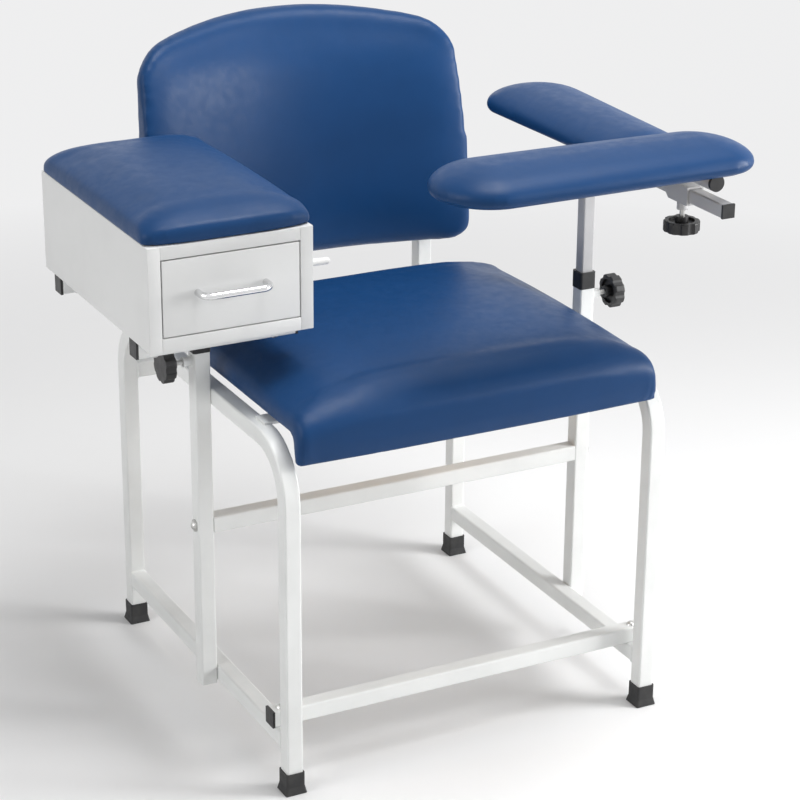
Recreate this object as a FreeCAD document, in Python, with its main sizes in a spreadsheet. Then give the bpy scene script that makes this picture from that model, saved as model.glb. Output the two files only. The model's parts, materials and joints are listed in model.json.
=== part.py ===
import FreeCAD, Part
import math
import os

import Sketcher
from FreeCAD import Placement, Rotation, Vector

# Phlebotomy chair: welded square tube frame with padded seat and back, a drawer cabinet that
# slides on a mast in the left post, and two padded arm blades on a mast in the right post.
# Millimetres. X to the sitter's right as seen from the front, Y to the back, Z up.
# The origin is on the floor under the middle of the whole chair's box.

SIZES = [
    ("tube_side", 20.0, "outer side of the white square tube"),
    ("tube_wall", 1.5, "wall of the white square tube"),
    ("tube_round", 2.5, "outer corner radius of the white square tube"),
    ("mast_side", 16.0, "outer side of the grey square tube"),
    ("mast_wall", 1.5, "wall of the grey square tube"),
    ("mast_round", 2.2, "outer corner radius of the grey square tube"),
    ("leg_spread_wide", 471.0, "side to side, leg centre to leg centre"),
    ("leg_spread_deep", 485.0, "front to back, leg centre to leg centre"),
    ("leg_start", 12.0, "height of the cut end of a leg inside its foot"),
    ("seat_rail_height", 418.0, "height of the seat rail's centre line"),
    ("hoop_bend", 62.0, "centre line radius of the hoop bends"),
    ("foot_height", 26.0, "height of a rubber foot"),
    ("foot_top_side", 23.0, "side of a foot at its top"),
    ("foot_base_side", 27.0, "side of a foot on the floor"),
    ("foot_flare_height", 9.0, "height of the flared part of a foot"),
    ("lower_rail_height", 62.5, "height of the lower side rail's centre line"),
    ("stretcher_gap", 10.0, "gap between the front legs and the front stretcher"),
    ("stretcher_reach", 11.0, "how far the stretcher passes the lower rail's centre"),
    ("plug_cap", 3.0, "thickness of a plug's visible cap"),
    ("plug_depth", 7.0, "length of a plug inside its tube"),
    ("plug_play", 0.05, "gap between a plug and the inside of its tube"),
    ("screw_head_width", 11.0, "diameter of a round screw head"),
    ("screw_head_height", 4.0, "height of a round screw head"),
    ("screw_shank", 5.0, "diameter of a frame screw"),
    ("screw_grip", 30.0, "length of a stretcher screw under its head"),
    ("washer_width", 15.0, "diameter of a washer"),
    ("washer_thick", 1.5, "thickness of a washer"),
    ("post_setback", 43.0, "distance of the posts in front of the chair's middle"),
    ("post_foot", 50.0, "height of the posts' lower ends"),
    ("post_top", 491.0, "height of the posts' upper ends"),
    ("cross_rail_height", 257.0, "height of the rail between the posts"),
    ("cross_bolt_grip", 34.0, "length of a cross rail bolt under its washer"),
    ("collar_height", 21.0, "height of a guide collar"),
    ("collar_roof", 4.0, "thickness of a collar above its post"),
    ("collar_wall", 0.8, "thickness of a collar around its post"),
    ("mast_play", 0.3, "gap between a mast and its collar on each side"),
    ("knob_height", 463.0, "height of the clamp knobs' axis"),
    ("boss_width", 12.0, "diameter of the threaded boss on a post"),
    ("boss_length", 11.0, "length of the threaded boss on a post"),
    ("clamp_screw_width", 6.0, "diameter of a clamp screw"),
    ("screw_play", 0.08, "radial gap around a clamp screw"),
    ("clamp_gap", 0.3, "gap between a clamp screw's tip and what it clamps"),
    ("knob_width", 42.0, "diameter of a star knob"),
    ("knob_thick", 13.0, "thickness of a star knob at its rim"),
    ("knob_stand_off", 9.0, "screw seen between a boss and its knob"),
    ("knob_scallop", 7.0, "radius of the finger scallops of a knob"),
    ("knob_scallop_depth", 2.6, "depth of the finger scallops of a knob"),
    ("knob_hub_width", 15.0, "diameter of a knob's hub"),
    ("knob_hub_height", 5.0, "height of a knob's hub"),
    ("knob_dish_depth", 3.5, "depth of the dish in a knob's hub side"),
    ("knob_dish_rim", 6.0, "width of the rim around the dish of a knob"),
    ("knob_edge", 1.6, "rounding of a knob's edges"),
    ("knob_bore_depth", 10.0, "length of a clamp screw inside its knob"),
    ("seat_bar_width", 25.0, "width of a flat bar under the seat"),
    ("seat_bar_thick", 3.0, "thickness of a flat bar under the seat"),
    ("seat_bar_front", 168.0, "distance of the front seat bar ahead of the middle"),
    ("seat_bar_rear", 110.0, "distance of the rear seat bar behind the middle"),
    ("seat_width", 460.0, "width of the seat cushion"),
    ("seat_front", 262.0, "distance of the seat's front ahead of the middle"),
    ("seat_rear", 141.0, "distance of the seat's rear edge behind the middle"),
    ("seat_thick", 51.0, "thickness of the seat cushion at its crown"),
    ("seat_edge_thick", 21.0, "thickness of the seat cushion at its side edges"),
    ("seat_lip_drop", 28.0, "how far the front lip hangs below the seat board"),
    ("seat_lip_deep", 19.0, "front to back thickness of the lip"),
    ("seat_nose", 62.0, "front to back length of the rounding over the lip"),
    ("seat_shoulder", 42.0, "front to back length of the rounding at the seat's rear"),
    ("seat_corner", 5.0, "how far the seat's front and rear draw in at its corners"),
    ("seat_crown_dip", 5.0, "fall of the seat's crown towards its front and rear"),
    ("cushion_draw", 6.0, "how far a cushion's sides draw in at its foot"),
    ("seat_board_thick", 12.0, "thickness of the seat board"),
    ("board_margin", 12.0, "how far a board stays inside its cushion's edge"),
    ("rear_tube_height", 350.0, "height of the rear cross tube's centre line"),
    ("upright_spread_wide", 360.0, "distance between the back uprights' centre lines"),
    ("upright_straight", 92.0, "length of an upright below its bend"),
    ("upright_bend", 150.0, "centre line radius of an upright's bend"),
    ("upright_upper", 200.0, "length of an upright above its bend"),
    ("back_lean", 8.5, "lean of the back from upright, in degrees"),
    ("back_half_width", 227.0, "half width of the back cushion low down"),
    ("back_top_narrowing", 13.0, "how much the half width falls towards the top"),
    ("back_height", 318.0, "height of the back cushion along its lean, at the middle"),
    ("back_arch", 39.0, "how much higher the back is in the middle than at its corners"),
    ("back_curve", 72.0, "how far the side edges come forward of the middle"),
    ("back_thick", 44.0, "thickness of the back cushion over its board"),
    ("back_edge_thick", 20.0, "thickness of the back cushion at its side edges"),
    ("back_board_thick", 12.0, "thickness of the back board"),
    ("back_low_corner", 31.0, "radius of the back's lower corners"),
    ("back_high_corner", 40.0, "radius of the back's upper corners"),
    ("back_edge_round", 9.0, "rounding of the back cushion's rim"),
    ("back_base_height", 468.0, "height of the back cushion's lower edge"),
    ("cabinet_width", 194.0, "width of the cabinet"),
    ("cabinet_deep", 332.0, "depth of the cabinet"),
    ("cabinet_high", 119.0, "height of the cabinet's panels"),
    ("cabinet_floor_height", 526.0, "height of the cabinet's underside"),
    ("cabinet_shift", 8.8, "how far the cabinet's middle lies outside its mast"),
    ("cabinet_front", 163.5, "distance of the cabinet's front ahead of the middle"),
    ("panel_thick", 15.0, "thickness of the cabinet's panels"),
    ("back_panel_thick", 5.0, "thickness of the cabinet's back panel"),
    ("top_pad_thick", 36.0, "thickness of the cabinet's padded top at its crown"),
    ("top_pad_overhang", 3.0, "overhang of the padded top"),
    ("top_pad_round", 16.0, "corner radius of the padded top"),
    ("top_pad_edge", 15.0, "thickness of the padded top at its sides"),
    ("top_pad_tuck", 3.0, "how far the padded top's sides draw in at its foot"),
    ("top_pad_shoulder", 52.0, "depth of the padded top's rounded front and rear shoulders"),
    ("top_pad_dip", 2.5, "how far the padded top falls from its crown to a shoulder"),
    ("front_tube_setback", 41.7, "setback of the front support tube from the cabinet's front"),
    ("rear_tube_setback", 30.0, "distance of the rear support tube ahead of the cabinet's rear"),
    ("left_mast_insert", 215.0, "length of the cabinet's mast inside its post"),
    ("peg_width", 8.5, "diameter of the hanging peg"),
    ("peg_length", 36.0, "length of the hanging peg"),
    ("peg_height", 64.0, "height of the peg above the cabinet's underside"),
    ("peg_setback", 34.0, "distance of the peg behind the cabinet's front"),
    ("drawer_gap", 1.5, "gap around the drawer front"),
    ("drawer_wall", 10.0, "thickness of the drawer's sides and back"),
    ("drawer_floor", 4.0, "thickness of the drawer's bottom"),
    ("drawer_floor_rise", 5.0, "height of the drawer's bottom above the edge of its sides"),
    ("drawer_lift", 8.0, "height of the drawer's sides above the cabinet's floor panel"),
    ("drawer_runner_gap", 11.0, "gap between a cabinet side and the drawer's side"),
    ("drawer_wall_high", 66.0, "height of the drawer's sides"),
    ("drawer_deep", 290.0, "depth of the drawer behind its front"),
    ("runner_web", 1.5, "thickness of a runner's sheet"),
    ("runner_high", 20.0, "height of a runner"),
    ("runner_gap", 0.3, "gap between the drawer and its runners"),
    ("handle_length", 88.0, "overall length of the drawer handle"),
    ("handle_width", 8.0, "thickness of the handle's bow"),
    ("handle_reach", 24.0, "how far the handle stands out of the drawer front"),
    ("handle_bend", 12.0, "bend radius of the handle"),
    ("handle_screw_depth", 7.0, "length of a handle screw inside the handle"),
    ("handle_rise", 46.0, "height of the handle above the drawer front's lower edge"),
    ("arm_rail_height", 652.5, "height of the arm rail's centre line"),
    ("arm_rail_front", 340.0, "distance of the arm rail's front end ahead of the middle"),
    ("arm_rail_length", 385.0, "length of the arm rail"),
    ("right_mast_insert", 100.5, "length of the arm's mast inside its post"),
    ("rear_pad_length", 333.0, "length of the rear arm pad"),
    ("rear_pad_front", 212.0, "distance of the rear pad's front end ahead of the middle"),
    ("rear_pad_shift", 6.0, "how far the rear pad's middle lies inside the rail"),
    ("rear_pad_wide", 63.0, "radius of the rear pad's wide rear end"),
    ("rear_pad_narrow", 54.0, "radius of the rear pad's front end"),
    ("rear_pad_rise", 9.0, "height of the rear pad above the arm rail"),
    ("rear_pad_thick", 36.0, "thickness of the rear arm pad"),
    ("arm_board_thick", 9.0, "thickness of an arm pad's board"),
    ("bracket_thick", 3.0, "thickness of the steel brackets"),
    ("bracket_width", 60.0, "width of the steel brackets under the arm pads"),
    ("bracket_length", 120.0, "length of the rear arm bracket"),
    ("bracket_foot", 20.0, "length of each foot of the rear arm bracket"),
    ("saddle_front", 273.0, "distance of the saddle's front ahead of the middle"),
    ("saddle_length", 48.0, "length of the saddle along the rail"),
    ("saddle_wall", 2.5, "sheet thickness of the saddle"),
    ("saddle_play", 0.3, "gap between the saddle and the rail"),
    ("saddle_taper", 10.0, "length of the cut-away at the saddle's rear lower corner"),
    ("saddle_boss_width", 13.0, "diameter of the threaded boss under the saddle"),
    ("saddle_boss_length", 11.0, "length of the threaded boss under the saddle"),
    ("saddle_screw_setback", 24.0, "distance of the clamp screw behind the saddle's front"),
    ("saddle_knob_drop", 8.0, "screw seen between the saddle's boss and its knob"),
    ("pivot_height", 25.2, "height of the flip axis above the rail's centre line"),
    ("sleeve_width", 19.0, "outer diameter of the pivot sleeve"),
    ("sleeve_bore", 14.0, "bore of the pivot sleeve"),
    ("pivot_play", 0.08, "radial gap between the pivot rod and its sleeve"),
    ("sleeve_front", 311.0, "distance of the sleeve's front end ahead of the middle"),
    ("ear_thick", 4.0, "thickness of the saddle's ear that holds the pivot rod"),
    ("ear_gap", 0.4, "gap between the ear and the sleeve"),
    ("cap_thick", 4.0, "thickness of the pivot sleeve's end cap"),
    ("front_plate_length", 150.0, "length of the plate under the front arm pad"),
    ("front_plate_tail", 12.0, "how far that plate passes the flip axis"),
    ("cradle_width", 14.0, "width of the weld cradle on the pivot sleeve"),
    ("cradle_height", 4.0, "height of the weld cradle on the pivot sleeve"),
    ("front_pad_left", 79.0, "distance of the front pad's left end from the middle"),
    ("front_pad_right", 305.0, "distance of the front pad's right end from the middle"),
    ("front_pad_front", 341.0, "distance of the front pad's front edge ahead of the middle"),
    ("front_pad_wide", 66.0, "radius of the front pad's wide inner end"),
    ("front_pad_narrow", 62.0, "radius of the front pad's outer end"),
    ("front_pad_thick", 38.0, "thickness of the front arm pad"),
]

os.makedirs("parts", exist_ok=True)
doc = FreeCAD.newDocument("phlebotomy_chair")
sheet = doc.addObject("Spreadsheet::Sheet", "sizes")
for row, (alias, amount, note) in enumerate(SIZES, start=1):
    sheet.set(f"A{row}", alias)
    sheet.set(f"B{row}", str(amount))
    sheet.set(f"C{row}", note)
    sheet.setAlias(f"B{row}", alias)
doc.recompute()


class Length:
    """A size that carries both its value and the sheet expression that gives it."""

    def __init__(self, value, text):
        self.value = value
        self.text = text

    def __add__(self, other):
        other = as_length(other)
        return Length(self.value + other.value, f"({self.text} + {other.text})")

    def __sub__(self, other):
        other = as_length(other)
        return Length(self.value - other.value, f"({self.text} - {other.text})")

    def __mul__(self, factor):
        return Length(self.value * factor, f"({self.text} * {factor})")

    def __truediv__(self, factor):
        return Length(self.value / factor, f"({self.text} / {factor})")

    def __neg__(self):
        return Length(-self.value, f"(-{self.text})")

    def __float__(self):
        return float(self.value)

    __radd__ = __add__
    __rmul__ = __mul__


def as_length(item):
    """A Length as it is, or a plain number wrapped as one."""
    return item if isinstance(item, Length) else Length(float(item), repr(float(item)))


class Sizes:
    """The sheet's cells, each read as a Length under its alias."""

    def __getattr__(self, alias):
        return Length(float(sheet.get(alias)), f"sizes.{alias}")


size = Sizes()
ZERO = as_length(0)
UP = Vector(0, 0, 1)
ACROSS = Vector(1, 0, 0)
BACKWARD = Vector(0, 1, 0)
NO_TURN = Rotation()
Z_TO_X = Rotation(BACKWARD, 90)
Z_TO_MINUS_X = Rotation(BACKWARD, -90)
Z_TO_Y = Rotation(ACROSS, -90)
Z_TO_MINUS_Y = Rotation(ACROSS, 90)
Z_TO_MINUS_Z = Rotation(ACROSS, 180)

# The two sorts of square tube: side, wall and corner radius.
WHITE_TUBE = (size.tube_side, size.tube_wall, size.tube_round)
GREY_TUBE = (size.mast_side, size.mast_wall, size.mast_round)

# Places worked out once from the sizes, in the frame's own coordinates: the middle of the legs.
leg_x = size.leg_spread_wide / 2
leg_y = size.leg_spread_deep / 2
half_tube = size.tube_side / 2
half_mast = size.mast_side / 2
post_x = leg_x + size.tube_side
post_y = -size.post_setback
rail_top = size.seat_rail_height + half_tube
board_floor = rail_top + size.seat_bar_thick
collar_top = size.post_top + size.collar_roof
cabinet_x = -(post_x + size.cabinet_shift)
cabinet_left = cabinet_x - size.cabinet_width / 2
cabinet_front = -size.cabinet_front
cabinet_rear = cabinet_front + size.cabinet_deep
cabinet_base = size.cabinet_floor_height
cabinet_top = cabinet_base + size.cabinet_high
support_height = cabinet_base - half_tube
arm_x = post_x
arm_rail_top = size.arm_rail_height + half_mast
pivot_z = size.arm_rail_height + size.pivot_height
front_pad_base = pivot_z + size.sleeve_width / 2 + size.bracket_thick
rear_pad_base = arm_rail_top + size.rear_pad_rise

# The back leans on the uprights' front faces, whose line starts at the end of their bends.
lean = math.radians(size.back_lean.value)
bend_end_y = leg_y + size.upright_bend * (1 - math.cos(lean))
bend_end_z = size.rear_tube_height + half_tube + size.upright_straight + size.upright_bend * math.sin(lean)
face_low = bend_end_z + half_tube * math.sin(lean)
face_y = bend_end_y - half_tube * math.cos(lean)
back_face_y = face_y + (size.back_base_height - face_low) * math.tan(lean)
back_inner = size.upright_spread_wide / 2 - half_tube
curve_share = size.back_curve.value / size.back_half_width.value
round_share = (1 + curve_share ** 2) / (2 * curve_share)
inner_share = back_inner.value / size.back_half_width.value
back_bow = size.back_half_width * (round_share - math.sqrt(round_share ** 2 - inner_share ** 2))

# The chair's box is centred on the origin by this shift of the frame's own coordinates.
left_reach = size.top_pad_overhang - cabinet_left
right_reach = arm_x - size.rear_pad_shift + size.rear_pad_wide
front_reach = size.front_pad_front
back_reach = back_face_y + size.back_height * math.sin(lean) + back_bow * math.cos(lean)
shift_x = (left_reach - right_reach) / 2
shift_y = (front_reach - back_reach) / 2

nodes = []


def place(item, x, y, z, turn=NO_TURN):
    """Put an object at chair coordinates x, y, z with a rotation."""
    where = Vector(float(x + shift_x), float(y + shift_y), float(z))
    item.Placement = Placement(where, turn)
    return item


def node(item, label):
    """Name an object as one exported sub-part."""
    item.Label = label
    nodes.append(item)
    return item


def bind(item, name, length):
    """Tie one property of an object to the sheet."""
    item.setExpression(name, as_length(length).text)


def new_body(label):
    """An empty body that is one sub-part."""
    return node(doc.addObject("PartDesign::Body", label), label)


def plane_sketch(body, plane, name):
    """A sketch on one of a body's own origin planes."""
    sketch = body.newObject("Sketcher::SketchObject", name)
    role = f"{plane}_Plane"
    support = [item for item in body.Origin.OriginFeatures if item.Role == role][0]
    sketch.AttachmentSupport = (support, [""])
    sketch.MapMode = "FlatFace"
    return sketch


def fix(sketch, kind, *where, length):
    """Add a dimension to a sketch and tie it to the sheet."""
    length = as_length(length)
    index = sketch.addConstraint(Sketcher.Constraint(kind, *where, length.value))
    sketch.setExpression(f"Constraints[{index}]", length.text)


def draw_rectangle(sketch, width, depth, radius):
    """Draw a centred rectangle with round corners, tied to the sheet."""
    w, d, r = width.value / 2, depth.value / 2, radius.value
    start = sketch.GeometryCount
    sides = [
        ((r - w, -d), (w - r, -d)),
        ((w, r - d), (w, d - r)),
        ((w - r, d), (r - w, d)),
        ((-w, d - r), (-w, r - d)),
    ]
    for (x1, y1), (x2, y2) in sides:
        sketch.addGeometry(Part.LineSegment(Vector(x1, y1, 0), Vector(x2, y2, 0)))
    corners = [(w - r, r - d), (w - r, d - r), (r - w, d - r), (r - w, r - d)]
    for turn, (x, y) in enumerate(corners):
        begin = (turn - 1) * math.pi / 2
        circle = Part.Circle(Vector(x, y, 0), UP, r)
        sketch.addGeometry(Part.ArcOfCircle(circle, begin, begin + math.pi / 2))
    for turn in range(4):
        side, arc, following = start + turn, start + 4 + turn, start + (turn + 1) % 4
        sketch.addConstraint(Sketcher.Constraint("Tangent", side, 2, arc, 1))
        sketch.addConstraint(Sketcher.Constraint("Tangent", arc, 2, following, 1))
    for turn in (1, 2, 3):
        sketch.addConstraint(Sketcher.Constraint("Equal", start + 4, start + 4 + turn))
    for side in (start, start + 2):
        sketch.addConstraint(Sketcher.Constraint("Horizontal", side))
    for side in (start + 1, start + 3):
        sketch.addConstraint(Sketcher.Constraint("Vertical", side))
    sketch.addConstraint(Sketcher.Constraint("Symmetric", start + 4, 3, start + 6, 3, -1, 1))
    fix(sketch, "Radius", start + 4, length=radius)
    fix(sketch, "DistanceX", start + 3, 1, start + 1, 1, length=width)
    fix(sketch, "DistanceY", start, 1, start + 2, 1, length=depth)


def draw_circle(sketch, radius, x=ZERO, y=ZERO):
    """Draw a circle whose radius and centre are tied to the sheet."""
    x, y = as_length(x), as_length(y)
    circle = Part.Circle(Vector(x.value, y.value, 0), UP, radius.value)
    index = sketch.addGeometry(circle)
    fix(sketch, "Radius", index, length=radius)
    if x is ZERO and y is ZERO:
        sketch.addConstraint(Sketcher.Constraint("Coincident", index, 3, -1, 1))
    else:
        fix(sketch, "DistanceX", -1, 1, index, 3, length=x)
        fix(sketch, "DistanceY", -1, 1, index, 3, length=y)
    return index


def draw_tube(sketch, side, wall, radius):
    """Draw the section of a square tube: its outer and inner outlines."""
    draw_rectangle(sketch, side, side, radius)
    inside = side - wall * 2
    draw_rectangle(sketch, inside, inside, radius - wall)


def pad(body, sketch, length):
    """Raise a sketch by a length tied to the sheet."""
    feature = body.newObject("PartDesign::Pad", "Pad")
    feature.Profile = sketch
    bind(feature, "Length", length)
    return feature


def pocket(body, sketch, length):
    """Cut a sketch down into the body along the sketch's normal."""
    feature = body.newObject("PartDesign::Pocket", "Pocket")
    feature.Profile = sketch
    feature.Reversed = True
    bind(feature, "Length", length)
    return feature


def straight_tube(label, tube, length):
    """A straight square tube that starts at its placement and runs along its own Z."""
    body = new_body(label)
    section = plane_sketch(body, "XY", "Section")
    draw_tube(section, *tube)
    pad(body, section, length)
    return body


def white_tube(label, length):
    """A straight piece of the white frame tube."""
    return straight_tube(label, WHITE_TUBE, length)


def grey_tube(label, length):
    """A straight piece of the grey mast tube."""
    return straight_tube(label, GREY_TUBE, length)


def draw_path(sketch, stretches):
    """Draw lines and tangent bends from the sketch's origin.

    stretches is a list of (length, turn in degrees, bend radius); the first stretch goes up, and a
    positive turn bends to the right. The last stretch has no bend after it.
    """
    x, y, heading = 0.0, 0.0, 90.0
    count = 0
    for length, turn, radius in stretches:
        ahead = Vector(math.cos(math.radians(heading)), math.sin(math.radians(heading)), 0)
        stop = Vector(x, y, 0) + ahead * length.value
        line = sketch.addGeometry(Part.LineSegment(Vector(x, y, 0), stop))
        if count:
            sketch.addConstraint(Sketcher.Constraint("Tangent", line - 1, bend_end, line, 1))
        else:
            sketch.addConstraint(Sketcher.Constraint("Coincident", line, 1, -1, 1))
            sketch.addConstraint(Sketcher.Constraint("Vertical", line))
        fix(sketch, "Distance", line, length=length)
        count += 1
        x, y = stop.x, stop.y
        if not turn:
            continue
        side = Vector(ahead.y, -ahead.x, 0) * math.copysign(radius.value, turn)
        middle = stop + side
        first = math.degrees(math.atan2(-side.y, -side.x))
        last = first - turn
        circle = Part.Circle(middle, UP, radius.value)
        low, high = sorted((math.radians(first), math.radians(last)))
        arc = sketch.addGeometry(Part.ArcOfCircle(circle, low, high))
        bend_start, bend_end = (2, 1) if turn > 0 else (1, 2)
        sketch.addConstraint(Sketcher.Constraint("Tangent", line, 2, arc, bend_start))
        fix(sketch, "Radius", arc, length=radius)
        sketch.addConstraint(Sketcher.Constraint("Angle", arc, math.radians(abs(turn))))
        heading -= turn
        x = middle.x + radius.value * math.cos(math.radians(last))
        y = middle.y + radius.value * math.sin(math.radians(last))
    return sketch.GeometryCount


def bent_tube(label, stretches):
    """A white tube bent in its own YZ plane, starting up from its placement."""
    body = new_body(label)
    path = plane_sketch(body, "YZ", "Path")
    edges = draw_path(path, stretches)
    section = plane_sketch(body, "XY", "Section")
    draw_tube(section, *WHITE_TUBE)
    pipe = body.newObject("PartDesign::AdditivePipe", "Pipe")
    pipe.Profile = section
    pipe.Spine = (path, [f"Edge{index + 1}" for index in range(edges)])
    return body


def block(name, width, depth, height):
    """A box primitive tied to the sheet."""
    item = doc.addObject("Part::Box", name)
    bind(item, "Length", width)
    bind(item, "Width", depth)
    bind(item, "Height", height)
    return item


def rod(name, diameter, length):
    """A cylinder primitive tied to the sheet."""
    item = doc.addObject("Part::Cylinder", name)
    bind(item, "Radius", as_length(diameter) / 2)
    bind(item, "Height", length)
    return item


def dome(name, width, height):
    """A round screw head: the cap of a ball, flat side down at its placement."""
    half = width.value / 2
    ball = (half ** 2 + height.value ** 2) / (2 * height.value)
    item = doc.addObject("Part::Feature", name)
    sphere = Part.makeSphere(ball, Vector(0, 0, height.value - ball))
    stock = Part.makeCylinder(half, height.value)
    item.Shape = sphere.common(stock)
    return item


def fuse(name, items):
    """One solid from several that touch or overlap."""
    item = doc.addObject("Part::MultiFuse", name)
    item.Shapes = items
    item.Refine = True
    return item


def cut(name, base, tool):
    """One solid with another taken out of it."""
    item = doc.addObject("Part::Cut", name)
    item.Base = base
    item.Tool = tool
    return item


def group(name, items):
    """Several separate solids that share one name."""
    item = doc.addObject("Part::Compound", name)
    item.Links = items
    return item


def tube_plug(name, tube, x, y, z, turn):
    """A plastic end plug: a square cap outside the tube and a block inside it.

    tube is the tube's side, wall and corner radius. The plug's placement is the middle of the
    tube's cut end, with its own Z pointing out of the tube.
    """
    side, wall, round_corner = tube
    where = Vector(float(x + shift_x), float(y + shift_y), float(z))
    frame = Placement(where, turn)
    cap = block(f"{name}_cap", side, side, size.plug_cap)
    cap.Placement = frame * Placement(Vector(-side.value / 2, -side.value / 2, 0), NO_TURN)
    inside = side - wall * 2 - size.plug_play * 2
    stem = doc.addObject("PartDesign::Body", f"{name}_stem")
    outline = plane_sketch(stem, "XY", "Outline")
    draw_rectangle(outline, inside, inside, round_corner - wall)
    pad(stem, outline, size.plug_depth)
    stem.Placement = frame * Placement(-UP * size.plug_depth.value, NO_TURN)
    return fuse(name, [cap, stem])


def on_sides(build):
    """Build a thing on the left and on the right; build takes a side of -1 or 1."""
    return [build(side) for side in (-1, 1)]


def arc_profile(start, moves):
    """A closed wire from start; each move is (via, stop), with via None for a straight edge."""
    edges = []
    here = start
    for via, stop in moves:
        if via is None:
            edges.append(Part.LineSegment(here, stop).toShape())
        else:
            edges.append(Part.Arc(here, via, stop).toShape())
        here = stop
    return Part.Wire(edges)


def round_rectangle_wire(width, depth, radius, height):
    """A centred rectangle with round corners at a height."""
    w, d, r = width / 2, depth / 2, radius
    slack = r * (1 - math.sqrt(0.5))
    moves = [
        (None, Vector(w - r, -d, height)),
        (Vector(w - slack, slack - d, height), Vector(w, r - d, height)),
        (None, Vector(w, d - r, height)),
        (Vector(w - slack, d - slack, height), Vector(w - r, d, height)),
        (None, Vector(r - w, d, height)),
        (Vector(slack - w, d - slack, height), Vector(-w, d - r, height)),
        (None, Vector(-w, r - d, height)),
        (Vector(slack - w, slack - d, height), Vector(r - w, -d, height)),
    ]
    return arc_profile(Vector(r - w, -d, height), moves)


def solid_loft(name, wires, tool=None):
    """A solid through wires, with a tool shape taken out of it."""
    item = doc.addObject("Part::Feature", name)
    shape = Part.makeLoft(wires, True, False)
    if tool is not None:
        shape = shape.cut(tool)
    item.Shape = shape
    return item


def prism(wire, along):
    """A solid raised from a flat wire."""
    return Part.Face(wire).extrude(along)


# Chair frame


def side_name(side, thing):
    """left_thing or right_thing."""
    return f"{'left' if side < 0 else 'right'}_{thing}"


def build_hoop(side):
    """Front leg, seat rail and rear leg in one bent tube."""
    leg = size.seat_rail_height - size.hoop_bend - size.leg_start
    run = size.leg_spread_deep - size.hoop_bend * 2
    bends = [(leg, 90, size.hoop_bend), (run, 90, size.hoop_bend), (leg, 0, None)]
    hoop = bent_tube(side_name(side, "hoop"), bends)
    return place(hoop, leg_x * side, -leg_y, size.leg_start)


on_sides(build_hoop)


def frame_hole(name, x, y, z, length, turn):
    """A drill for a frame screw: a rod a little wider than the screw."""
    drill = rod(name, size.screw_shank + size.screw_play * 2, length)
    return place(drill, x, y, z, turn)


stretcher_y = -(leg_y - half_tube - size.stretcher_gap - half_tube)
stretcher_z = size.lower_rail_height + size.tube_side
stretcher_top = stretcher_z + half_tube


def build_lower_rail(side):
    """Side rail near the floor, drilled for the stretcher's screw."""
    name = side_name(side, "lower_rail")
    tube = white_tube(f"{name}_tube", size.leg_spread_deep - size.tube_side)
    nodes.remove(tube)
    place(tube, leg_x * side, half_tube - leg_y, size.lower_rail_height, Z_TO_Y)
    start = size.lower_rail_height
    drill = frame_hole(f"{name}_drill", leg_x * side, stretcher_y, start, size.tube_side, NO_TURN)
    return node(cut(name, tube, drill), name)


on_sides(build_lower_rail)


def build_foot(side_x, side_y):
    """A rubber foot: a socket for the leg's end with a flared base."""
    name = f"foot_{side_x}_{side_y}"
    corner = size.tube_round.value
    heights = [
        (size.foot_base_side.value, 0.0),
        (size.foot_top_side.value, size.foot_flare_height.value),
    ]
    flare = Part.makeLoft(
        [round_rectangle_wire(side, side, corner, height) for side, height in heights], True, True
    )
    upper = round_rectangle_wire(
        size.foot_top_side.value, size.foot_top_side.value, corner, size.foot_flare_height.value
    )
    rise = size.foot_height.value - size.foot_flare_height.value
    socket_side = size.tube_side.value
    socket = round_rectangle_wire(socket_side, socket_side, corner, size.leg_start.value)
    shape = flare.fuse(prism(upper, UP * rise)).cut(prism(socket, UP * size.foot_height.value))
    item = doc.addObject("Part::Feature", name)
    item.Shape = shape.removeSplitter()
    return place(item, leg_x * side_x, leg_y * side_y, ZERO)


feet = [build_foot(side_x, side_y) for side_x in (-1, 1) for side_y in (-1, 1)]
node(group("feet", feet), "feet")

stretcher_half = leg_x + size.stretcher_reach
stretcher_tube = white_tube("stretcher_tube", stretcher_half * 2)
nodes.remove(stretcher_tube)
place(stretcher_tube, -stretcher_half, stretcher_y, stretcher_z, Z_TO_X)


def stretcher_drill(side):
    """The drill for one stretcher screw."""
    start = stretcher_z - half_tube
    name = side_name(side, "stretcher_drill")
    return frame_hole(name, leg_x * side, stretcher_y, start, size.tube_side, NO_TURN)


stretcher_drills = group("stretcher_drills", on_sides(stretcher_drill))
node(cut("front_stretcher", stretcher_tube, stretcher_drills), "front_stretcher")


def stretcher_plug(side):
    """The plug in one end of the front stretcher."""
    turn = Z_TO_X if side > 0 else Z_TO_MINUS_X
    where = (stretcher_half * side, stretcher_y, stretcher_z)
    return tube_plug(side_name(side, "stretcher_plug"), WHITE_TUBE, *where, turn)


node(group("stretcher_plugs", on_sides(stretcher_plug)), "stretcher_plugs")


def frame_screw(name, x, y, z, grip, turn):
    """A round headed screw whose head's flat side is at x, y, z; its shank runs down its own Z."""
    head = dome(f"{name}_head", size.screw_head_width, size.screw_head_height)
    place(head, x, y, z, turn)
    shank = rod(f"{name}_shank", size.screw_shank, grip)
    shank.Placement = head.Placement * Placement(Vector(0, 0, -grip.value), NO_TURN)
    return fuse(name, [head, shank])


def stretcher_screw(side):
    """The screw that holds one end of the stretcher on its rail."""
    name = side_name(side, "stretcher_screw")
    where = (leg_x * side, stretcher_y, stretcher_top)
    return frame_screw(name, *where, size.screw_grip, NO_TURN)


node(group("stretcher_screws", on_sides(stretcher_screw)), "stretcher_screws")


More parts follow.
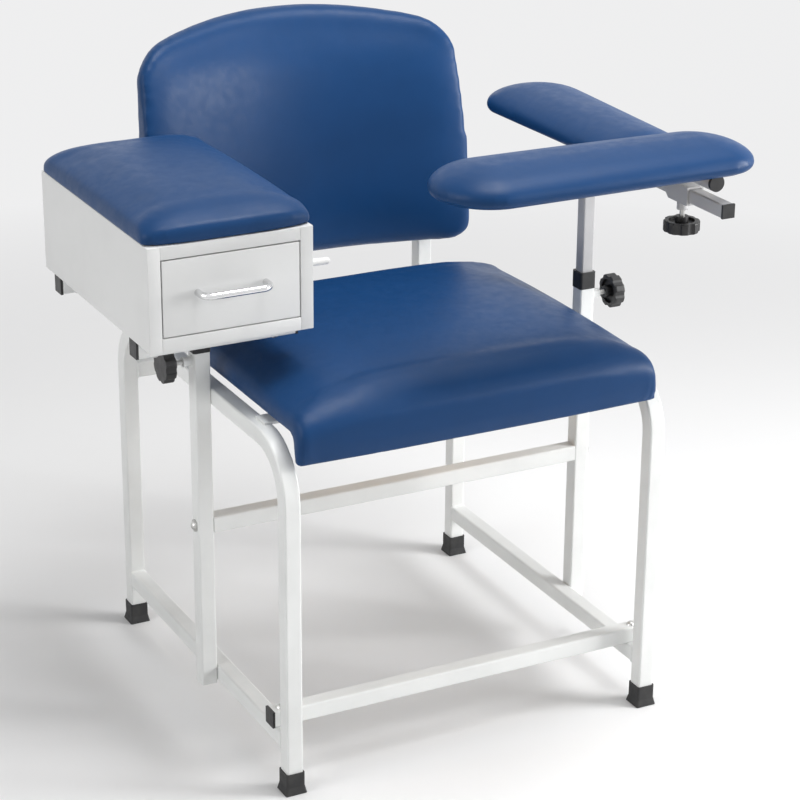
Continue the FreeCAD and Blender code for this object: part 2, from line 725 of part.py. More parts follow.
def build_post(side):
    """Outer sleeve of a mast, drilled for the cross rail's bolt and the clamp screw."""
    name = side_name(side, "post")
    tube = white_tube(f"{name}_tube", size.post_top - size.post_foot)
    nodes.remove(tube)
    place(tube, post_x * side, post_y, size.post_foot)
    turn = Z_TO_X if side > 0 else Z_TO_MINUS_X
    through = size.tube_side
    bolt = frame_hole(
        f"{name}_bolt", (post_x - half_tube) * side, post_y, size.cross_rail_height, through, turn
    )
    clamp = rod(f"{name}_clamp", size.clamp_screw_width + size.screw_play * 2, through / 2)
    place(clamp, post_x * side, post_y, size.knob_height, turn)
    return node(cut(name, tube, group(f"{name}_drills", [bolt, clamp])), name)


on_sides(build_post)

cross_half = post_x - half_tube
cross_tube = white_tube("cross_tube", cross_half * 2)
nodes.remove(cross_tube)
place(cross_tube, -cross_half, post_y, size.cross_rail_height, Z_TO_X)


def cross_rail_end(side):
    """The drilled steel end piece that takes the bolt inside the cross rail."""
    name = side_name(side, "cross_end")
    inside = size.tube_side - size.tube_wall * 2
    item = block(name, size.cross_bolt_grip - size.tube_side, inside, inside)
    start = cross_half * side if side < 0 else cross_half - (size.cross_bolt_grip - size.tube_side)
    return place(item, start, post_y - inside / 2, size.cross_rail_height - inside / 2)


def cross_rail_drill(side):
    """The drill for one cross rail bolt."""
    turn = Z_TO_X if side < 0 else Z_TO_MINUS_X
    name = side_name(side, "cross_drill")
    length = size.cross_bolt_grip
    return frame_hole(name, cross_half * side, post_y, size.cross_rail_height, length, turn)


cross_solid = fuse("cross_solid", [cross_tube, *on_sides(cross_rail_end)])
cross_drills = group("cross_drills", on_sides(cross_rail_drill))
node(cut("cross_rail", cross_solid, cross_drills), "cross_rail")


def cross_rail_bolt(side):
    """A round headed bolt with its washer, from the post's outer face into the cross rail."""
    name = side_name(side, "cross_bolt")
    turn = Z_TO_X if side > 0 else Z_TO_MINUS_X
    face = post_x + half_tube
    washer = rod(f"{name}_washer", size.washer_width, size.washer_thick)
    place(washer, face * side, post_y, size.cross_rail_height, turn)
    head_at = (face + size.washer_thick) * side
    grip = size.cross_bolt_grip + size.washer_thick
    screw = frame_screw(name, head_at, post_y, size.cross_rail_height, grip, turn)
    return fuse(f"{name}_set", [washer, screw])


node(group("cross_rail_bolts", on_sides(cross_rail_bolt)), "cross_rail_bolts")


def clamp_bore(name, length):
    """The hollow a clamp screw runs in."""
    return rod(name, size.clamp_screw_width + size.screw_play * 2, length)


def knob_boss(side):
    """The threaded boss welded on a post for its clamp screw."""
    name = side_name(side, "boss")
    turn = Z_TO_X if side > 0 else Z_TO_MINUS_X
    where = ((post_x + half_tube) * side, post_y, size.knob_height)
    outside = place(rod(f"{name}_outside", size.boss_width, size.boss_length), *where, turn)
    inside = place(clamp_bore(f"{name}_bore", size.boss_length), *where, turn)
    return cut(name, outside, inside)


node(group("knob_bosses", on_sides(knob_boss)), "knob_bosses")


def collar(side):
    """The black guide on a post's top: a cap with a square hole for the mast."""
    name = side_name(side, "collar")
    outer = size.tube_side + size.collar_wall * 2
    body = doc.addObject("PartDesign::Body", name)
    cap_outline = plane_sketch(body, "XY", "Outline")
    draw_rectangle(cap_outline, outer, outer, size.tube_round + size.collar_wall)
    pad(body, cap_outline, size.collar_height)
    socket = plane_sketch(body, "XY", "Socket")
    draw_rectangle(socket, size.tube_side, size.tube_side, size.tube_round)
    pocket(body, socket, size.collar_height - size.collar_roof)
    guide = plane_sketch(body, "XY", "Guide")
    hole = size.mast_side + size.mast_play * 2
    draw_rectangle(guide, hole, hole, size.mast_round)
    pocket(body, guide, size.collar_height)
    return place(body, post_x * side, post_y, collar_top - size.collar_height)


node(group("post_collars", on_sides(collar)), "post_collars")

rear_tube = white_tube("rear_cross_tube", size.leg_spread_wide - size.tube_side)
place(rear_tube, half_tube - leg_x, leg_y, size.rear_tube_height, Z_TO_X)


def build_upright(side):
    """A tube that rises behind the seat and leans back behind the back board."""
    name = side_name(side, "back_upright")
    bend = (size.upright_straight, size.back_lean.value, size.upright_bend)
    upright = bent_tube(name, [bend, (size.upright_upper, 0, None)])
    start = size.rear_tube_height + half_tube
    return place(upright, size.upright_spread_wide / 2 * side, leg_y, start)


on_sides(build_upright)


def seat_bar(name, y):
    """A flat bar across the seat rails, under the seat board."""
    bar = block(name, size.leg_spread_wide, size.seat_bar_width, size.seat_bar_thick)
    return place(bar, -leg_x, y - size.seat_bar_width / 2, rail_top)


seat_bars = [
    seat_bar("front_seat_bar", -size.seat_bar_front),
    seat_bar("rear_seat_bar", size.seat_bar_rear),
]
node(group("seat_bars", seat_bars), "seat_bars")


# Upholstery: every cushion wraps the edges of a board that is let into its underside

RIB_SHARES = (0.0, 0.35, 0.6, 0.77, 0.88, 0.945, 0.98, 1.0)
BACK_RIB_SHARES = (0.0, 0.25, 0.5, 0.68, 0.8, 0.88, 0.93, 0.965, 0.99)
EDGE_POWER = 4
SIDE_SHARE = 0.35
BACK_SIDE_SHARE = 0.7
NOSE_FOOT_SHARE = 0.62
FRONT_BULGE_SHARE = 0.3
NOSE_BULGE_SHARE = 0.14
REAR_MIDDLE_SHARE = 0.55
REAR_BULGE_SHARE = 0.2
CROWN_SHARE = 0.3
BACK_RIM_SHARE = 1.3


def both_sides(shares):
    """A list of shares from zero to one, mirrored to run from minus one to one."""
    return [-share for share in reversed(shares) if share] + list(shares)


def fullness(share, power=EDGE_POWER):
    """How full a cushion is at a share of its half width: one in the middle, none at its edge."""
    return math.sqrt(max(0.0, 1 - abs(share) ** power))


seat_floor = board_floor.value


def seat_rib(share):
    """The seat cushion's outline from front to back at a share of its half width."""
    x = size.seat_width.value / 2 * share
    full = fullness(share)
    part_full = SIDE_SHARE + (1 - SIDE_SHARE) * full
    draw = size.cushion_draw.value
    edge = size.seat_edge_thick.value
    top = seat_floor + edge + (size.seat_thick.value - edge) * full
    base = seat_floor + draw * (1 - full)
    front = size.seat_corner.value * (1 - full) - size.seat_front.value
    rear = size.seat_rear.value - size.seat_corner.value * (1 - full)
    lip = seat_floor - size.seat_lip_drop.value
    nose = size.seat_nose.value * part_full
    shoulder = size.seat_shoulder.value * part_full
    dip = size.seat_crown_dip.value * part_full
    face, depth = top - lip, top - base

    def at(y, z):
        return Vector(x, y, z)

    lip_back = front + size.seat_lip_deep.value
    crown = at((front + rear) / 2, top)
    moves = [
        (None, at(lip_back + draw, base)),
        (None, at(lip_back, lip)),
        (None, at(front + draw, lip)),
        (at(front, lip + face * FRONT_BULGE_SHARE), at(front, lip + face * NOSE_FOOT_SHARE)),
        (at(front + nose * FRONT_BULGE_SHARE, top - face * NOSE_BULGE_SHARE), at(front + nose, top - dip)),
        (crown, at(rear - shoulder, top - dip)),
        (
            at(rear - shoulder * FRONT_BULGE_SHARE, top - depth * REAR_BULGE_SHARE),
            at(rear, base + depth * REAR_MIDDLE_SHARE),
        ),
        (at(rear - draw / 4, base + depth * REAR_BULGE_SHARE), at(rear - draw, base)),
    ]
    return arc_profile(at(rear - draw, base), moves)


board_front = size.seat_lip_deep + size.cushion_draw - size.seat_front
board_rear = size.seat_rear - size.board_margin
board_half = size.seat_width / 2 - size.board_margin
seat_board = block("seat_board", board_half * 2, board_rear - board_front, size.seat_board_thick)
node(place(seat_board, -board_half, board_front, board_floor), "seat_board")
seat_form = solid_loft("seat_form", [seat_rib(share) for share in both_sides(RIB_SHARES)])
place(seat_form, ZERO, ZERO, ZERO)
underside = block("seat_underside", size.seat_width, size.seat_rear - board_front, size.seat_bar_thick)
place(underside, -size.seat_width / 2, board_front, rail_top)
seat_recess = group("seat_recess", [seat_board, underside])
node(cut("seat_cushion", seat_form, seat_recess), "seat_cushion")


# Back: its own frame has X across, Z up along the lean and Y square to the board. The frame's
# origin lies on the uprights' front faces, at the height of the cushion's lower edge.

back_half = size.back_half_width.value
back_top_half = back_half - size.back_top_narrowing.value
BACK_TURN = Rotation(ACROSS, -size.back_lean.value)


def back_surface(x):
    """The board's rear surface, a round curve that touches the uprights' inner edges."""
    fall_share = round_share - math.sqrt(round_share ** 2 - (x / back_half) ** 2)
    return back_bow.value - back_half * fall_share


def back_low(x):
    """The height of the back's lower outline at x."""
    corner = size.back_low_corner.value
    past = max(0.0, abs(x) - (back_half - corner)) / corner
    return corner * (1 - math.sqrt(max(0.0, 1 - past ** 2)))


def back_high(x):
    """The height of the back's upper outline at x: an arch that ends in round corners."""
    corner = size.back_high_corner.value
    rise = size.back_height.value - size.back_arch.value * (x / back_top_half) ** 2
    past = min(1.0, max(0.0, abs(x) - (back_top_half - corner)) / corner)
    return rise - corner * (1 - math.sqrt(1 - past ** 2))


def back_rib(share):
    """The back cushion's section at a share of its half width.

    The section's plane leans inward as the back's sides do, so every rib runs the full height.
    """
    full = fullness(share)
    edge = size.back_edge_thick.value
    thick = size.back_board_thick.value + edge + (size.back_thick.value - edge) * full
    low, high = back_low(back_half * share), back_high(back_top_half * share)
    rim = size.back_edge_round.value
    rear = back_surface(back_half * share) - size.clamp_gap.value
    front = rear - thick * (BACK_SIDE_SHARE + (1 - BACK_SIDE_SHARE) * full)
    inset = (rear - front) * CROWN_SHARE
    middle = (rear + front) / 2

    def at(y, z):
        narrowing = size.back_top_narrowing.value * z / size.back_height.value
        return Vector((back_half - narrowing) * share, y, z)

    moves = [
        (at(middle, low), at(front + inset, low + rim * BACK_RIM_SHARE)),
        (at(front, (low + high) / 2), at(front + inset, high - rim * BACK_RIM_SHARE)),
        (at(middle, high), at(rear, high - rim)),
        (None, at(rear, low + rim)),
    ]
    return arc_profile(at(rear, low + rim), moves)


def curved_slab(half, thick, height):
    """A slab of the board's curve: rear surface on the uprights, front surface thick ahead."""
    rear_edge, rear_middle = back_surface(half), back_surface(0)
    moves = [
        (Vector(0, rear_middle, 0), Vector(half, rear_edge, 0)),
        (None, Vector(half, rear_edge - thick, 0)),
        (Vector(0, rear_middle - thick, 0), Vector(-half, rear_edge - thick, 0)),
        (None, Vector(-half, rear_edge, 0)),
    ]
    return prism(arc_profile(Vector(-half, rear_edge, 0), moves), UP * height)


def back_board_outline():
    """The board's outline seen from the front: round lower corners and an arched top."""
    margin = size.board_margin.value
    half = back_top_half - margin
    low_r, high_r = size.back_low_corner.value, size.back_high_corner.value
    slack = 1 - math.sqrt(0.5)
    low = margin
    shoulder = back_high(half - high_r) - margin
    side_top = shoulder - high_r
    y = -back_half

    def at(x, z):
        return Vector(x, y, z)

    moves = [
        (None, at(half - low_r, low)),
        (at(half - low_r * slack, low + low_r * slack), at(half, low + low_r)),
        (None, at(half, side_top)),
        (at(half - high_r * slack, side_top + high_r * (1 - slack)), at(half - high_r, shoulder)),
        (at(0, size.back_height.value - margin), at(high_r - half, shoulder)),
        (at(high_r * slack - half, side_top + high_r * (1 - slack)), at(-half, side_top)),
        (None, at(-half, low + low_r)),
        (at(low_r * slack - half, low + low_r * slack), at(low_r - half, low)),
    ]
    return arc_profile(at(low_r - half, low), moves)


back_board = doc.addObject("Part::Feature", "back_board")
board_slab = curved_slab(back_top_half, size.back_board_thick.value, size.back_height.value)
back_board.Shape = board_slab.common(prism(back_board_outline(), BACKWARD * back_half * 2))
node(place(back_board, ZERO, back_face_y, size.back_base_height, BACK_TURN), "back_board")
back_form = solid_loft("back_form", [back_rib(share) for share in both_sides(BACK_RIB_SHARES)])
place(back_form, ZERO, back_face_y, size.back_base_height, BACK_TURN)
node(cut("back_cushion", back_form, back_board), "back_cushion")


# Cabinet on its mast


def panel(name, x, y, z, width, depth, height):
    """A flat board of the cabinet or the drawer, given by its low corner and size."""
    return node(place(block(name, width, depth, height), x, y, z), name)


panel_gap = size.panel_thick * 2
inner_width = size.cabinet_width - panel_gap
inner_left = cabinet_left + size.panel_thick
cabinet_right = cabinet_left + size.cabinet_width
inner_right = cabinet_right - size.panel_thick
side_size = (size.panel_thick, size.cabinet_deep, size.cabinet_high)
panel("cabinet_left_side", cabinet_left, cabinet_front, cabinet_base, *side_size)
panel("cabinet_right_side", inner_right, cabinet_front, cabinet_base, *side_size)
lid_size = (inner_width, size.cabinet_deep, size.panel_thick)
panel("cabinet_bottom", inner_left, cabinet_front, cabinet_base, *lid_size)
lid_z = cabinet_top - size.panel_thick
panel("cabinet_top_panel", inner_left, cabinet_front, lid_z, *lid_size)
back_y = cabinet_rear - size.back_panel_thick
back_size = (inner_width, size.back_panel_thick, size.cabinet_high - panel_gap)
panel("cabinet_back", inner_left, back_y, cabinet_base + size.panel_thick, *back_size)

TOP_RIB_SHARES = (0.0, 0.3, 0.55, 0.74, 0.86, 0.93, 0.97, 0.99, 1.0)
TOP_EDGE_POWER = 4
TOP_MIDDLE_SHARE = 0.5


def top_pad_rib(share):
    """The padded top's outline from front to back at a share of its half width."""
    full = fullness(share, TOP_EDGE_POWER)
    part_full = SIDE_SHARE + (1 - SIDE_SHARE) * full
    x = (size.cabinet_width.value / 2 + size.top_pad_overhang.value) * share
    edge = size.top_pad_edge.value
    top = edge + (size.top_pad_thick.value - edge) * full
    reach = size.cabinet_deep.value / 2 + size.top_pad_overhang.value
    reach = reach - size.top_pad_round.value * (1 - full)
    tuck = size.top_pad_tuck.value
    shoulder = size.top_pad_shoulder.value * part_full
    dip = size.top_pad_dip.value * part_full

    def at(y, z):
        return Vector(x, y, z)

    def end_moves(side):
        foot = (at((reach - tuck / 4) * side, top * REAR_BULGE_SHARE), at((reach - tuck) * side, 0))
        bulge = at((reach - shoulder * FRONT_BULGE_SHARE) * side, top * (1 - REAR_BULGE_SHARE))
        return foot, (bulge, at(reach * side, top * TOP_MIDDLE_SHARE))

    front_foot, front_bulge = end_moves(-1)
    rear_foot, rear_bulge = end_moves(1)
    moves = [
        (None, front_foot[1]),
        (front_foot[0], front_bulge[1]),
        (front_bulge[0], at(shoulder - reach, top - dip)),
        (at(0, top), at(reach - shoulder, top - dip)),
        rear_bulge,
        rear_foot,
    ]
    return arc_profile(rear_foot[1], moves)


top_pad = solid_loft("cabinet_top_pad", [top_pad_rib(share) for share in both_sides(TOP_RIB_SHARES)])
place(top_pad, cabinet_x, (cabinet_front + cabinet_rear) / 2, cabinet_top)
node(top_pad, "cabinet_top_pad")

support_start = cabinet_left + size.plug_cap
support_length = size.cabinet_width - size.plug_cap * 2
front_support_y = cabinet_front + size.front_tube_setback + half_tube
rear_support_y = cabinet_rear - size.rear_tube_setback - half_tube
for support_name, support_y in (
    ("front_support_tube", front_support_y),
    ("rear_support_tube", rear_support_y),
):
    place(white_tube(support_name, support_length), support_start, support_y, support_height, Z_TO_X)


def support_plug(name, side, y):
    """The plug in one end of a support tube."""
    turn = Z_TO_X if side > 0 else Z_TO_MINUS_X
    x = cabinet_x + support_length / 2 * side
    return tube_plug(name, WHITE_TUBE, x, y, support_height, turn)


support_plugs = [
    support_plug("front_left_plug", -1, front_support_y),
    support_plug("front_right_plug", 1, front_support_y),
    support_plug("rear_left_plug", -1, rear_support_y),
    support_plug("rear_right_plug", 1, rear_support_y),
]
node(group("support_tube_plugs", support_plugs), "support_tube_plugs")

beam = white_tube("carrier_beam", rear_support_y - front_support_y - size.tube_side)
place(beam, -post_x, front_support_y + half_tube, support_height, Z_TO_Y)
left_mast_foot = size.post_top - size.left_mast_insert
left_mast = grey_tube("cabinet_mast", support_height - half_tube - left_mast_foot)
place(left_mast, -post_x, post_y, left_mast_foot)


def build_peg():
    """The small round-ended peg on the cabinet's inner side."""
    height = size.peg_width / 2
    stem = rod("peg_stem", size.peg_width, size.peg_length - height)
    where = (cabinet_front + size.peg_setback, cabinet_base + size.peg_height)
    place(stem, cabinet_right, *where, Z_TO_X)
    tip = dome("peg_tip", size.peg_width, height)
    place(tip, cabinet_right + size.peg_length - height, *where, Z_TO_X)
    return fuse("hanging_peg", [stem, tip])


node(build_peg(), "hanging_peg")

drawer_floor_z = cabinet_base + size.panel_thick + size.drawer_lift


def runner(side):
    """A sheet runner on a cabinet side, with a shelf under the drawer's side."""
    name = side_name(side, "runner")
    inside = inner_right if side > 0 else inner_left
    shelf_deep = size.drawer_runner_gap + size.drawer_wall / 2
    web_x = inside - size.runner_web if side > 0 else inside
    shelf_x = inside - shelf_deep if side > 0 else inside
    start_y = cabinet_front + size.panel_thick + size.drawer_gap
    shelf_z = drawer_floor_z - size.runner_gap - size.runner_web
    web = block(f"{name}_web", size.runner_web, size.drawer_deep, size.runner_high)
    place(web, web_x, start_y, shelf_z)
    shelf = block(f"{name}_shelf", shelf_deep, size.drawer_deep, size.runner_web)
    place(shelf, shelf_x, start_y, shelf_z)
    return fuse(name, [web, shelf])


node(group("drawer_runners", on_sides(runner)), "drawer_runners")


# Drawer

front_width = inner_width - size.drawer_gap * 2
front_high = size.cabinet_high - panel_gap - size.drawer_gap * 2
front_x = inner_left + size.drawer_gap
front_z = cabinet_base + size.panel_thick + size.drawer_gap
handle_z = front_z + size.handle_rise
handle_span = size.handle_length - size.handle_width


def handle_drill(side):
    """The hole for one handle screw through the drawer front."""
    name = side_name(side, "handle_drill")
    x = cabinet_x + handle_span / 2 * side
    return frame_hole(name, x, cabinet_front, handle_z, size.panel_thick, Z_TO_Y)


front_board = block("drawer_front_board", front_width, size.panel_thick, front_high)
place(front_board, front_x, cabinet_front, front_z)
handle_drills = group("handle_drills", on_sides(handle_drill))
node(cut("drawer_front", front_board, handle_drills), "drawer_front")

drawer_y = cabinet_front + size.panel_thick
drawer_half = inner_width / 2 - size.drawer_runner_gap


def drawer_side(side):
    """One side wall of the drawer's box."""
    x = cabinet_x + (drawer_half if side < 0 else drawer_half - size.drawer_wall) * side
    wall = block(side_name(side, "wall"), size.drawer_wall, size.drawer_deep, size.drawer_wall_high)
    return place(wall, x, drawer_y, drawer_floor_z)


node(group("drawer_sides", on_sides(drawer_side)), "drawer_sides")
box_width = drawer_half * 2 - size.drawer_wall * 2
box_left = cabinet_x - box_width / 2
rear_wall_y = drawer_y + size.drawer_deep - size.drawer_wall
rear_wall = (box_width, size.drawer_wall, size.drawer_wall_high)
panel("drawer_back", box_left, rear_wall_y, drawer_floor_z, *rear_wall)
bottom_size = (box_width, size.drawer_deep - size.drawer_wall, size.drawer_floor)
bottom_z = drawer_floor_z + size.drawer_floor_rise
panel("drawer_bottom", box_left, drawer_y, bottom_z, *bottom_size)


def build_handle():
    """A bow handle: one round bar bent twice, its ends square to the drawer front."""
    body = new_body("drawer_handle")
    path = plane_sketch(body, "YZ", "Path")
    leg = size.handle_reach - size.handle_width / 2 - size.handle_bend
    run = size.handle_length - size.handle_width - size.handle_bend * 2
    bends = [(leg, 90, size.handle_bend), (run, 90, size.handle_bend), (leg, 0, None)]
    edges = draw_path(path, bends)
    section = plane_sketch(body, "XY", "Section")
    draw_circle(section, size.handle_width / 2)
    pipe = body.newObject("PartDesign::AdditivePipe", "Pipe")
    pipe.Profile = section
    pipe.Spine = (path, [f"Edge{index + 1}" for index in range(edges)])
    bore = plane_sketch(body, "XY", "Bore")
    for y in (ZERO, handle_span):
        draw_circle(bore, size.screw_shank / 2 + size.screw_play, ZERO, y)
    pocket(body, bore, size.handle_screw_depth + size.clamp_gap)
    turn = Z_TO_MINUS_Y * Rotation(UP, -90)
    return place(body, cabinet_x - handle_span / 2, cabinet_front, handle_z, turn)


build_handle()


def handle_screw(side):
    """The screw that holds one end of the handle, its head inside the drawer."""
    name = side_name(side, "handle_screw")
    where = (cabinet_x + handle_span / 2 * side, drawer_y, handle_z)
    return frame_screw(name, *where, size.panel_thick + size.handle_screw_depth, Z_TO_Y)


node(group("handle_screws", on_sides(handle_screw)), "handle_screws")


# Arm: mast, rail and the fixed rear pad

arm_rail_base = size.arm_rail_height - half_mast
right_mast_foot = size.post_top - size.right_mast_insert
right_mast = grey_tube("arm_mast", arm_rail_base - right_mast_foot)
place(right_mast, arm_x, post_y, right_mast_foot)
rail = grey_tube("arm_rail", size.arm_rail_length)
rail_front = size.plug_cap - size.arm_rail_front
place(rail, arm_x, rail_front, size.arm_rail_height, Z_TO_Y)
rail_rear = rail_front + size.arm_rail_length
rail_plugs = [
    tube_plug("rail_front_plug", GREY_TUBE, arm_x, rail_front, size.arm_rail_height, Z_TO_MINUS_Y),
    tube_plug("rail_rear_plug", GREY_TUBE, arm_x, rail_rear, size.arm_rail_height, Z_TO_Y),
]
node(group("arm_rail_plugs", rail_plugs), "arm_rail_plugs")


def build_rear_bracket():
    """A flat plate on two feet that stand on the arm rail."""
    foot_high = size.rear_pad_rise - size.bracket_thick
    plate = block("bracket_plate", size.bracket_width, size.bracket_length, size.bracket_thick)
    plate_y = post_y - size.bracket_length / 2
    place(plate, arm_x - size.bracket_width / 2, plate_y, arm_rail_top + foot_high)
    pieces = [plate]
    for name, foot_y in (
        ("front_bracket_foot", plate_y),
        ("rear_bracket_foot", plate_y + size.bracket_length - size.bracket_foot),
    ):
        foot = block(name, size.mast_side, size.bracket_foot, foot_high)
        pieces.append(place(foot, arm_x - half_mast, foot_y, arm_rail_top))
    return fuse("rear_arm_bracket", pieces)


node(build_rear_bracket(), "rear_arm_bracket")

PAD_SHARES = (
    (0.0, 0.14), (0.08, 0.05), (0.27, 0.0), (0.44, 0.03),
    (0.62, 0.13), (0.78, 0.30), (0.90, 0.52), (0.97, 0.72), (1.0, 0.88),
)

# Places on the tight corner of a pad's end, as shares of the end's radius: first along the pad,
# then across it.
TIGHT_START_SHARES = (0.4, 0.97)
TIGHT_MIDDLE_SHARES = (0.88, 0.74)
TIGHT_END_SHARES = (1.03, 0.48)
LOOSE_MIDDLE_SHARES = (0.8, -0.64)


def blade_wire(blade, inset, height):
    """A pad's outline: a round end, straight sides and an end with one tight corner.

    blade gives the centres of the tight and the round end, their radii and the tight corner's side,
    1 for the left and -1 for the right as seen along the pad towards the tight end.
    """
    tight, plain, tight_full, plain_full, side = blade
    tight_radius, plain_radius = tight_full.value - inset, plain_full.value - inset
    along = tight - plain
    spread = along.Length
    along.normalize()
    square = Vector(-along.y, along.x, 0) * side
    lean_share = (plain_radius - tight_radius) / spread
    out_share = math.sqrt(1 - lean_share ** 2)
    near = along * lean_share + square * out_share
    far = along * lean_share - square * out_share
    lift = UP * height

    def rim(direction):
        return plain + direction * plain_radius + lift

    def tip(shares):
        return tight + (along * shares[0] + square * shares[1]) * tight_radius + lift

    def bisector(first, second):
        middle = first + second
        middle.normalize()
        return middle

    moves = [
        (None, tip(TIGHT_START_SHARES)),
        (tip(TIGHT_MIDDLE_SHARES), tip(TIGHT_END_SHARES)),
        (tip(LOOSE_MIDDLE_SHARES), tight + far * tight_radius + lift),
        (None, rim(far)),
        (rim(bisector(far, -along)), rim(-along)),
        (rim(bisector(near, -along)), rim(near)),
    ]
    return arc_profile(rim(near), moves)


def blade_pad(name, blade, thick):
    """A crowned arm pad over a blade outline; its sides draw in at the foot."""
    end = min(blade[2].value, blade[3].value)
    wires = []
    for rise_share, inset_share in PAD_SHARES:
        wires.append(blade_wire(blade, end * inset_share, thick.value * rise_share))
    return solid_loft(name, wires)


def build_arm_pad(name, blade, thick, base):
    """A pad and the board let into its underside, both placed at the pad's foot."""
    board = doc.addObject("Part::Feature", f"{name}_board")
    outline = blade_wire(blade, size.board_margin.value, 0)
    board.Shape = prism(outline, UP * size.arm_board_thick.value)
    node(place(board, ZERO, ZERO, base), f"{name}_board")
    form = blade_pad(f"{name}_form", blade, thick)
    place(form, ZERO, ZERO, base)
    return node(cut(f"{name}_pad", form, board), f"{name}_pad")


rear_pad_x = arm_x - size.rear_pad_shift
rear_wide_y = size.rear_pad_length - size.rear_pad_front - size.rear_pad_wide
rear_narrow_y = size.rear_pad_narrow - size.rear_pad_front
rear_blade = (
    Vector(rear_pad_x.value, rear_wide_y.value, 0),
    Vector(rear_pad_x.value, rear_narrow_y.value, 0),
    size.rear_pad_wide, size.rear_pad_narrow, 1,
)
build_arm_pad("rear_arm", rear_blade, size.rear_pad_thick, rear_pad_base)


# Saddle that slides on the arm rail, with the rod that the front pad flips about

saddle_inside = size.mast_side + size.saddle_play * 2
saddle_outside = saddle_inside + size.saddle_wall * 2
half_saddle = saddle_outside / 2
saddle_y = -size.saddle_front
saddle_rear = saddle_y + size.saddle_length
saddle_base = size.arm_rail_height - half_saddle
ear_y = saddle_rear - size.ear_thick
saddle_screw_y = saddle_y + size.saddle_screw_setback


def build_saddle():
    """A sheet band round the rail, with a threaded boss under it and an ear above its rear end."""
    outer = block("saddle_outer", saddle_outside, size.saddle_length, saddle_outside)
    place(outer, arm_x - half_saddle, saddle_y, saddle_base)
    boss = rod("saddle_boss", size.saddle_boss_width, size.saddle_boss_length)
    place(boss, arm_x, saddle_screw_y, saddle_base, Z_TO_MINUS_Z)
    stop_high = size.sleeve_width / 2 - size.clamp_gap
    rise = pivot_z - size.arm_rail_height
    post = block("ear_post", half_saddle + stop_high, size.ear_thick, rise)
    place(post, arm_x - half_saddle, ear_y, size.arm_rail_height)
    stop = block("ear_stop", half_saddle, size.ear_thick, stop_high)
    place(stop, arm_x - half_saddle, ear_y, pivot_z)
    crest = place(rod("ear_crest", stop_high * 2, size.ear_thick), arm_x, ear_y, pivot_z, Z_TO_Y)
    solid = fuse("saddle_solid", [outer, boss, post, stop, crest])
    hollow = block("saddle_hollow", saddle_inside, size.saddle_length, saddle_inside)
    place(hollow, arm_x - saddle_inside / 2, saddle_y, size.arm_rail_height - saddle_inside / 2)
    bore_long = size.saddle_boss_length + size.saddle_wall
    bore = clamp_bore("saddle_bore", bore_long)
    place(bore, arm_x, saddle_screw_y, saddle_base - size.saddle_boss_length)
    pivot_bore = rod("ear_bore", size.sleeve_bore - size.pivot_play * 2, size.ear_thick)
    place(pivot_bore, arm_x, ear_y, pivot_z, Z_TO_Y)
    taper = doc.addObject("Part::Feature", "saddle_taper")
    reach = size.saddle_taper.value
    corner = arc_profile(
        Vector(0, 0, 0), [(None, Vector(0, -reach, 0)), (None, Vector(0, 0, reach)), (None, Vector(0, 0, 0))]
    )
    taper.Shape = prism(corner, ACROSS * saddle_outside.value)
    place(taper, arm_x - half_saddle, saddle_rear, saddle_base)
    return cut("saddle_clamp", solid, group("saddle_cuts", [hollow, bore, pivot_bore, taper]))


node(build_saddle(), "saddle_clamp")

sleeve_y = -size.sleeve_front
rod_front = sleeve_y + size.plug_depth + size.clamp_gap
pivot_rod = rod("pivot_rod", size.sleeve_bore - size.pivot_play * 2, saddle_rear - rod_front)
node(place(pivot_rod, arm_x, rod_front, pivot_z, Z_TO_Y), "pivot_rod")


# Front arm: sleeve on the rod, plate, board and pad

sleeve_long = ear_y - size.ear_gap - sleeve_y
sleeve_outer = place(rod("sleeve_outer", size.sleeve_width, sleeve_long), arm_x, sleeve_y, pivot_z, Z_TO_Y)
sleeve_hole = place(rod("sleeve_hole", size.sleeve_bore, sleeve_long), arm_x, sleeve_y, pivot_z, Z_TO_Y)
node(cut("pivot_sleeve", sleeve_outer, sleeve_hole), "pivot_sleeve")
cap_head = place(rod("cap_head", size.sleeve_width, size.cap_thick), arm_x, sleeve_y, pivot_z, Z_TO_MINUS_Y)
stem_width = size.sleeve_bore - size.plug_play * 2
cap_stem = place(rod("cap_stem", stem_width, size.plug_depth), arm_x, sleeve_y, pivot_z, Z_TO_Y)
node(fuse("pivot_cap", [cap_head, cap_stem]), "pivot_cap")


def build_front_plate():
    """The plate under the front pad, with a weld cradle that sits on the sleeve."""
    under = pivot_z + size.sleeve_width / 2
    left = arm_x + size.front_plate_tail - size.front_plate_length
    plate_y = saddle_rear - size.bracket_width
    plate = block("front_plate", size.front_plate_length, size.bracket_width, size.bracket_thick)
    place(plate, left, plate_y, under)
    cradle_deep = size.bracket_width - size.ear_thick - size.ear_gap
    cradle = block("front_cradle", size.cradle_width, cradle_deep, size.cradle_height)
    place(cradle, arm_x - size.cradle_width / 2, plate_y, under - size.cradle_height)
    solid = fuse("front_plate_solid", [plate, cradle])
    seat = place(rod("cradle_seat", size.sleeve_width, size.bracket_width), arm_x, plate_y, pivot_z, Z_TO_Y)
    return cut("front_arm_plate", solid, seat)


node(build_front_plate(), "front_arm_plate")
front_wide = Vector(
    (size.front_pad_wide - size.front_pad_left).value,
    (size.front_pad_wide - size.front_pad_front).value,
    0,
)
front_narrow = Vector(
    (size.front_pad_right - size.front_pad_narrow).value,
    (size.front_pad_narrow - size.front_pad_front).value,
    0,
)
front_blade = (front_narrow, front_wide, size.front_pad_narrow, size.front_pad_wide, -1)
build_arm_pad("front_arm", front_blade, size.front_pad_thick, front_pad_base)


# Clamp screws with star knobs

KNOB_LOBES = 8


